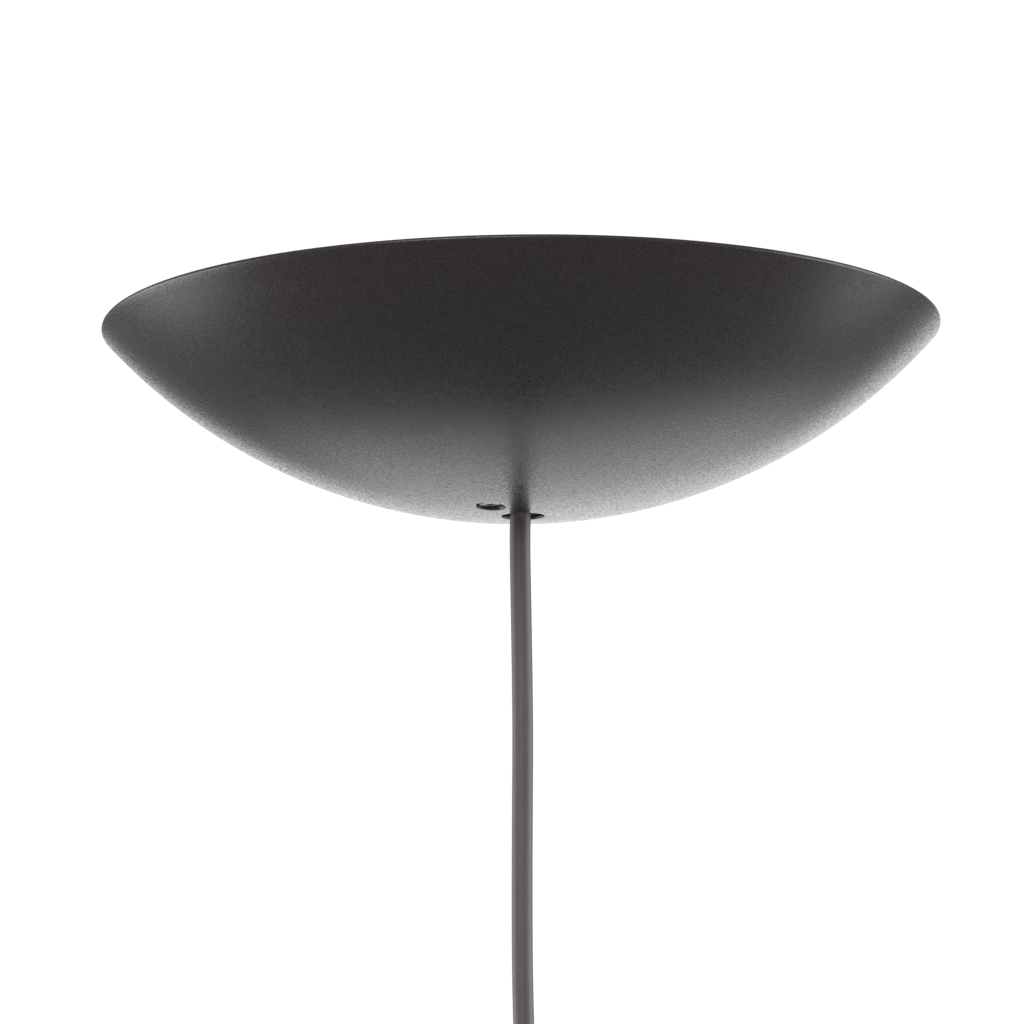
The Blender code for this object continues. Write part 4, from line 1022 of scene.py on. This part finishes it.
# ------------------------------------------------------------------ shade ring and washer
# The ring screws up the skirt and clamps a shade against the collar, on a fibre washer.
# It is moulded with the holder, in the same phenolic, with grip ribs round its edge.
RIBS = 40
RIB_DEPTH = 0.0006
RING_BORE = 0.0198
RING_EDGE = 0.0008           # rounding of its edges
ring_low, ring_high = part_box("shade_ring")
ring_radius = (ring_high.x - ring_low.x) / 2
ring_top, ring_bottom = ring_high.z, ring_low.z
RIB_STEPS = 8 * RIBS


def ribbed(reach, z, angle):
    """Grip ribs on the ring's outer face, fading out towards its rounded edges."""
    if reach < ring_radius - 0.0009:
        return reach
    fade = min(1.0, (z - ring_bottom) / 0.0010, (ring_top - z) / 0.0010)
    return reach - RIB_DEPTH * max(fade, 0.0) * (0.5 - 0.5 * math.cos(RIBS * angle)) ** 0.7


outline = [(RING_BORE, ring_bottom), (ring_radius - RING_EDGE, ring_bottom)]
outline += arc((ring_radius - RING_EDGE, ring_bottom + RING_EDGE), RING_EDGE, -80, 0, 6)
outline += [(ring_radius, z) for z in np.linspace(ring_bottom + 0.0012, ring_top - 0.0012, 6)]
outline += arc((ring_radius - RING_EDGE, ring_top - RING_EDGE), RING_EDGE, 0, 80, 6)
outline += [(ring_radius - RING_EDGE, ring_top), (RING_BORE, ring_top)]
knurled = finish_mesh("ribbed_ring", shifted(turned(outline, RIB_STEPS, ribbed), holder_x, 0, 0),
                      phenolic, sharp=50)
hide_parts("shade_ring")
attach(knurled, "ring")

# Vulcanised fibre: brick red, fibrous, cut from sheet with soft edges.
STRAND_WIDTH = 0.0003
STRAND_LENGTH = 0.0030
fibre, tree, shader, place = start_material("vulcanised_fibre", 0.68, 0.0, 1.5)
along = add(tree, "Mapping", {}, {"Vector": place, "Scale": (1 / STRAND_WIDTH, 1 / STRAND_LENGTH,
                                                             1 / STRAND_WIDTH)})
strand = add(tree, "TexNoise", {}, {"Vector": along.outputs[0], "Scale": 1.0, "Detail": 4.0})
tone = add(tree, "Mix", {"data_type": "RGBA"}, {0: strand.outputs["Fac"], 6: linear("7a2f22"),
                                                7: linear("a04a38")})
tree.links.new(tone.outputs[2], shader.inputs["Base Color"])
bump = add(tree, "Bump", {}, {"Strength": 0.5, "Distance": 0.00005,
                              "Height": strand.outputs["Fac"]})
tree.links.new(bump.outputs[0], shader.inputs["Normal"])
low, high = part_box("shade_washer")
wide = (high.x - low.x) / 2
outline = [(RING_BORE, low.z), (wide, low.z), (wide, high.z), (RING_BORE, high.z)]
fibre_ring = finish_mesh("fibre_washer", shifted(turned(outline, 96), holder_x, 0, 0), fibre)
soften(fibre_ring, 0.00015)
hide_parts("shade_washer")
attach(fibre_ring, "ring_washer")


# ------------------------------------------------------------------ lampholder's contacts
# A pressed steatite disc carries the contacts: a rolled brass screw shell, a sprung centre
# strip, and two screws whose heads take the flex's lower cores.
CONTACT_X = 0.0090
SHELL = 0.0139
SHELL_SHEET = 0.0005
SHELL_MOUTH = 0.0080
SHELL_PITCH = 0.0036
SHELL_WAVE = 0.0006
CONTACT_STRIP = 0.0005
CONTACT_BEND = 0.0008
STEATITE_GRAIN = 0.0004
SPECK = 0.0018
# Unglazed steatite: chalk white and matt, with dark specks and a granular face.
ceramic, tree, shader, place = start_material("unglazed_steatite", 0.55, 0.0, 1.55)
grain = add(tree, "TexNoise", {}, {"Vector": place, "Scale": 1 / STEATITE_GRAIN, "Detail": 4.0})
speck = add(tree, "TexVoronoi", {}, {"Vector": place, "Scale": 1 / SPECK})
spot = add(tree, "MapRange", {}, {"Value": speck.outputs["Distance"], "From Min": 0.05,
                                  "From Max": 0.12})
tone = add(tree, "Mix", {"data_type": "RGBA"}, {0: spot.outputs[0], 6: linear("b9b2a4"),
                                                7: linear("e6e2d8")})
tree.links.new(tone.outputs[2], shader.inputs["Base Color"])
bump = add(tree, "Bump", {}, {"Strength": 0.5, "Distance": 0.00005, "Height": grain.outputs["Fac"]})
tree.links.new(bump.outputs[0], shader.inputs["Normal"])
disc_radius = (insert_high.x - insert_low.x) / 2
outline = [(0.0, insert_low.z), (disc_radius, insert_low.z), (disc_radius, insert_high.z),
           (0.0, insert_high.z)]
disc = finish_mesh("steatite_disc", shifted(turned(outline, 64), holder_x, 0, 0), ceramic)
for side in (-1, 1):
    through = drill(M3_RADIUS + SCREW_WELL, insert_low.z - 0.002, insert_high.z + 0.002)
    carve(disc, shifted(through, holder_x + side * CONTACT_X, 0, 0))
soften(disc, 0.0003)
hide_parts("holder_insert")
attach(disc, "root")
contact_screws = [pan_head_screw("contact_bolt_live", "contact_screw_live", *M3, 1, 55),
                  pan_head_screw("contact_bolt_neutral", "contact_screw_neutral", *M3, 1, -20)]

low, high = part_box("screw_shell")
inner = SHELL - SHELL_SHEET
thread_low, thread_high = low.z + 0.0008, high.z - 0.0030
rounds = [z for _, z in thread_rows(SHELL, thread_low, thread_high, SHELL_PITCH)]
outline = [(SHELL_MOUTH, high.z - SHELL_SHEET), (inner, high.z - SHELL_SHEET)]
outline += [(inner, z) for z in rounds[::-1]] + [(inner, low.z), (SHELL, low.z)]
outline += [(SHELL, z) for z in rounds] + [(SHELL, high.z), (SHELL_MOUTH, high.z)]
outside_wave = thread(SHELL, thread_low, thread_high, SHELL_PITCH, SHELL_WAVE)
inside_wave = thread(inner, thread_low, thread_high, SHELL_PITCH, SHELL_WAVE)
shell = finish_mesh("rolled_shell", shifted(turned(outline, 72, lambda r, z, a: inside_wave(
    outside_wave(r, z, a), z, a)), holder_x, 0, 0), brass, sharp=50)
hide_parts("screw_shell")
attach(shell, "root")

low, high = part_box("centre_contact")
strip_high, strip_low = high.z - CONTACT_STRIP / 2, low.z + CONTACT_STRIP / 2
path = [(-0.0065, strip_high), (-0.0026, strip_high), (0.0014, strip_low), (0.0055, strip_low)]
strip = extruded(folded(path, CONTACT_STRIP, CONTACT_BEND, 6), low.y, high.y, TO_Y)
contact = finish_mesh("sprung_contact", shifted(strip, holder_x, 0, 0), brass)
soften(contact, 0.0001)
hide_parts("centre_contact")
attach(contact, "root")

lower_start = FLEX_ROUTE[-1][2] - GAP
head_z = insert_high.z + GAP + M3_HEAD_HEIGHT / 2
for pole, side in (("live", 1), ("neutral", -1)):
    stop = CONTACT_X - M3_HEAD - CORE_DIAMETER / 2 - GAP
    route = [(holder_x + side * CORE_SPACING, 0, lower_start),
             (holder_x + side * CORE_SPACING, 0, lower_start - 0.003),
             (holder_x + side * 0.0030, 0.0010, lower_start - 0.008),
             (holder_x + side * 0.0046, 0.0006, (lower_start - 0.008 + head_z) / 2),
             (holder_x + side * stop, 0, head_z)]
    core = lead("holder_core_" + pole, route, CORE_DIAMETER, core_coats[pole], 40)
    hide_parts(f"holder_{pole}_core")
    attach(core, "root")


# ------------------------------------------------------------------ room and light
# A pale floor a room's height below, a white backdrop all round, and soft light: a lit patch
# of backdrop behind the lamp with a pool of light low behind it, a soft panel on each side
# at about the lamp's height, a small reflector low on the right, and a softbox over the camera.
FLOOR_Z = -2.4
FLOOR_HALF = 12.0
FLOOR_MOTTLE = 0.5
FLOOR_GLOW = 0.65            # lit from within, like a light table, so that it stays pale
AMBIENT = 0.24
BACKDROP_SEEN = 1.05
# azimuth from +X and height above level, full within, gone beyond, all in degrees; strength
PANELS = {"lit_backdrop": (85, 1, 13, 26, 1.45),
          "pool_behind": (86, -38, 8, 30, 1.7),
          "left_panel": (163, -12, 10, 34, 3.8),
          "right_panel": (4, 0, 10, 30, 4.2),
          "right_reflector": (30, -27, 5, 17, 1.3)}
floor_mesh = bmesh.new()
bmesh.ops.create_grid(floor_mesh, x_segments=8, y_segments=8, size=FLOOR_HALF)
floor_paint, tree, shader, place = start_material("painted_floor", 0.7, 0.0, 1.5)
mottle = add(tree, "TexNoise", {}, {"Vector": place, "Scale": 1 / FLOOR_MOTTLE, "Detail": 3.0})
tone = add(tree, "Mix", {"data_type": "RGBA"}, {0: mottle.outputs["Fac"], 6: linear("e9e9e8"),
                                                7: linear("f2f2f1")})
tree.links.new(tone.outputs[2], shader.inputs["Base Color"])
tree.links.new(tone.outputs[2], shader.inputs["Emission Color"])
shader.inputs["Emission Strength"].default_value = FLOOR_GLOW
floor = finish_mesh("floor", shifted(floor_mesh, 0, 0, FLOOR_Z), floor_paint)
floor.visible_glossy = False
floor.visible_diffuse = False
floor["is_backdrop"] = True

world = bpy.data.worlds.new("studio")
world.use_nodes = True
bpy.context.scene.world = world
tree = world.node_tree
sky = tree.nodes["Background"]
direction = add(tree, "TexCoord", {}, {}).outputs["Generated"]
level = None
for azimuth, height, full, gone, strength in PANELS.values():
    turn, lift = math.radians(azimuth), math.radians(height)
    aim = (math.cos(turn) * math.cos(lift), math.sin(turn) * math.cos(lift), math.sin(lift))
    off = add(tree, "VectorMath", {"operation": "DOT_PRODUCT"}, {0: direction, 1: aim})
    glow = add(tree, "MapRange", {"interpolation_type": "SMOOTHSTEP"},
               {"Value": off.outputs["Value"], "From Min": math.cos(math.radians(gone)),
                "From Max": math.cos(math.radians(full)), "To Min": 0.0, "To Max": strength})
    under = level.outputs[0] if level else AMBIENT
    level = add(tree, "Math", {"operation": "ADD"}, {0: under, 1: glow.outputs[0]})
seen = add(tree, "LightPath", {}, {}).outputs["Is Camera Ray"]
shown = add(tree, "Mix", {"data_type": "FLOAT"}, {0: seen, 2: level.outputs[0],
                                                  3: BACKDROP_SEEN})
tree.links.new(shown.outputs[0], sky.inputs["Strength"])
sky.inputs["Color"].default_value = (1.0, 1.0, 1.0, 1.0)

SOFTBOX_SIZE = 1.0
SOFTBOX_WATTS = 14.0
SOFTBOX_AT = (-0.5, -1.6, 0.7)
SOFTBOX_AIM = (0, 0, -0.05)
softbox = bpy.data.lights.new("camera_softbox", "AREA")
softbox.size = SOFTBOX_SIZE
softbox.energy = SOFTBOX_WATTS
softbox_stand = bpy.data.objects.new("camera_softbox", softbox)
softbox_stand.location = SOFTBOX_AT
aim = Vector(SOFTBOX_AIM) - softbox_stand.location
softbox_stand.rotation_euler = aim.to_track_quat("-Z", "Y").to_euler()
softbox_stand.visible_camera = False
bpy.context.scene.collection.objects.link(softbox_stand)

low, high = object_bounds()
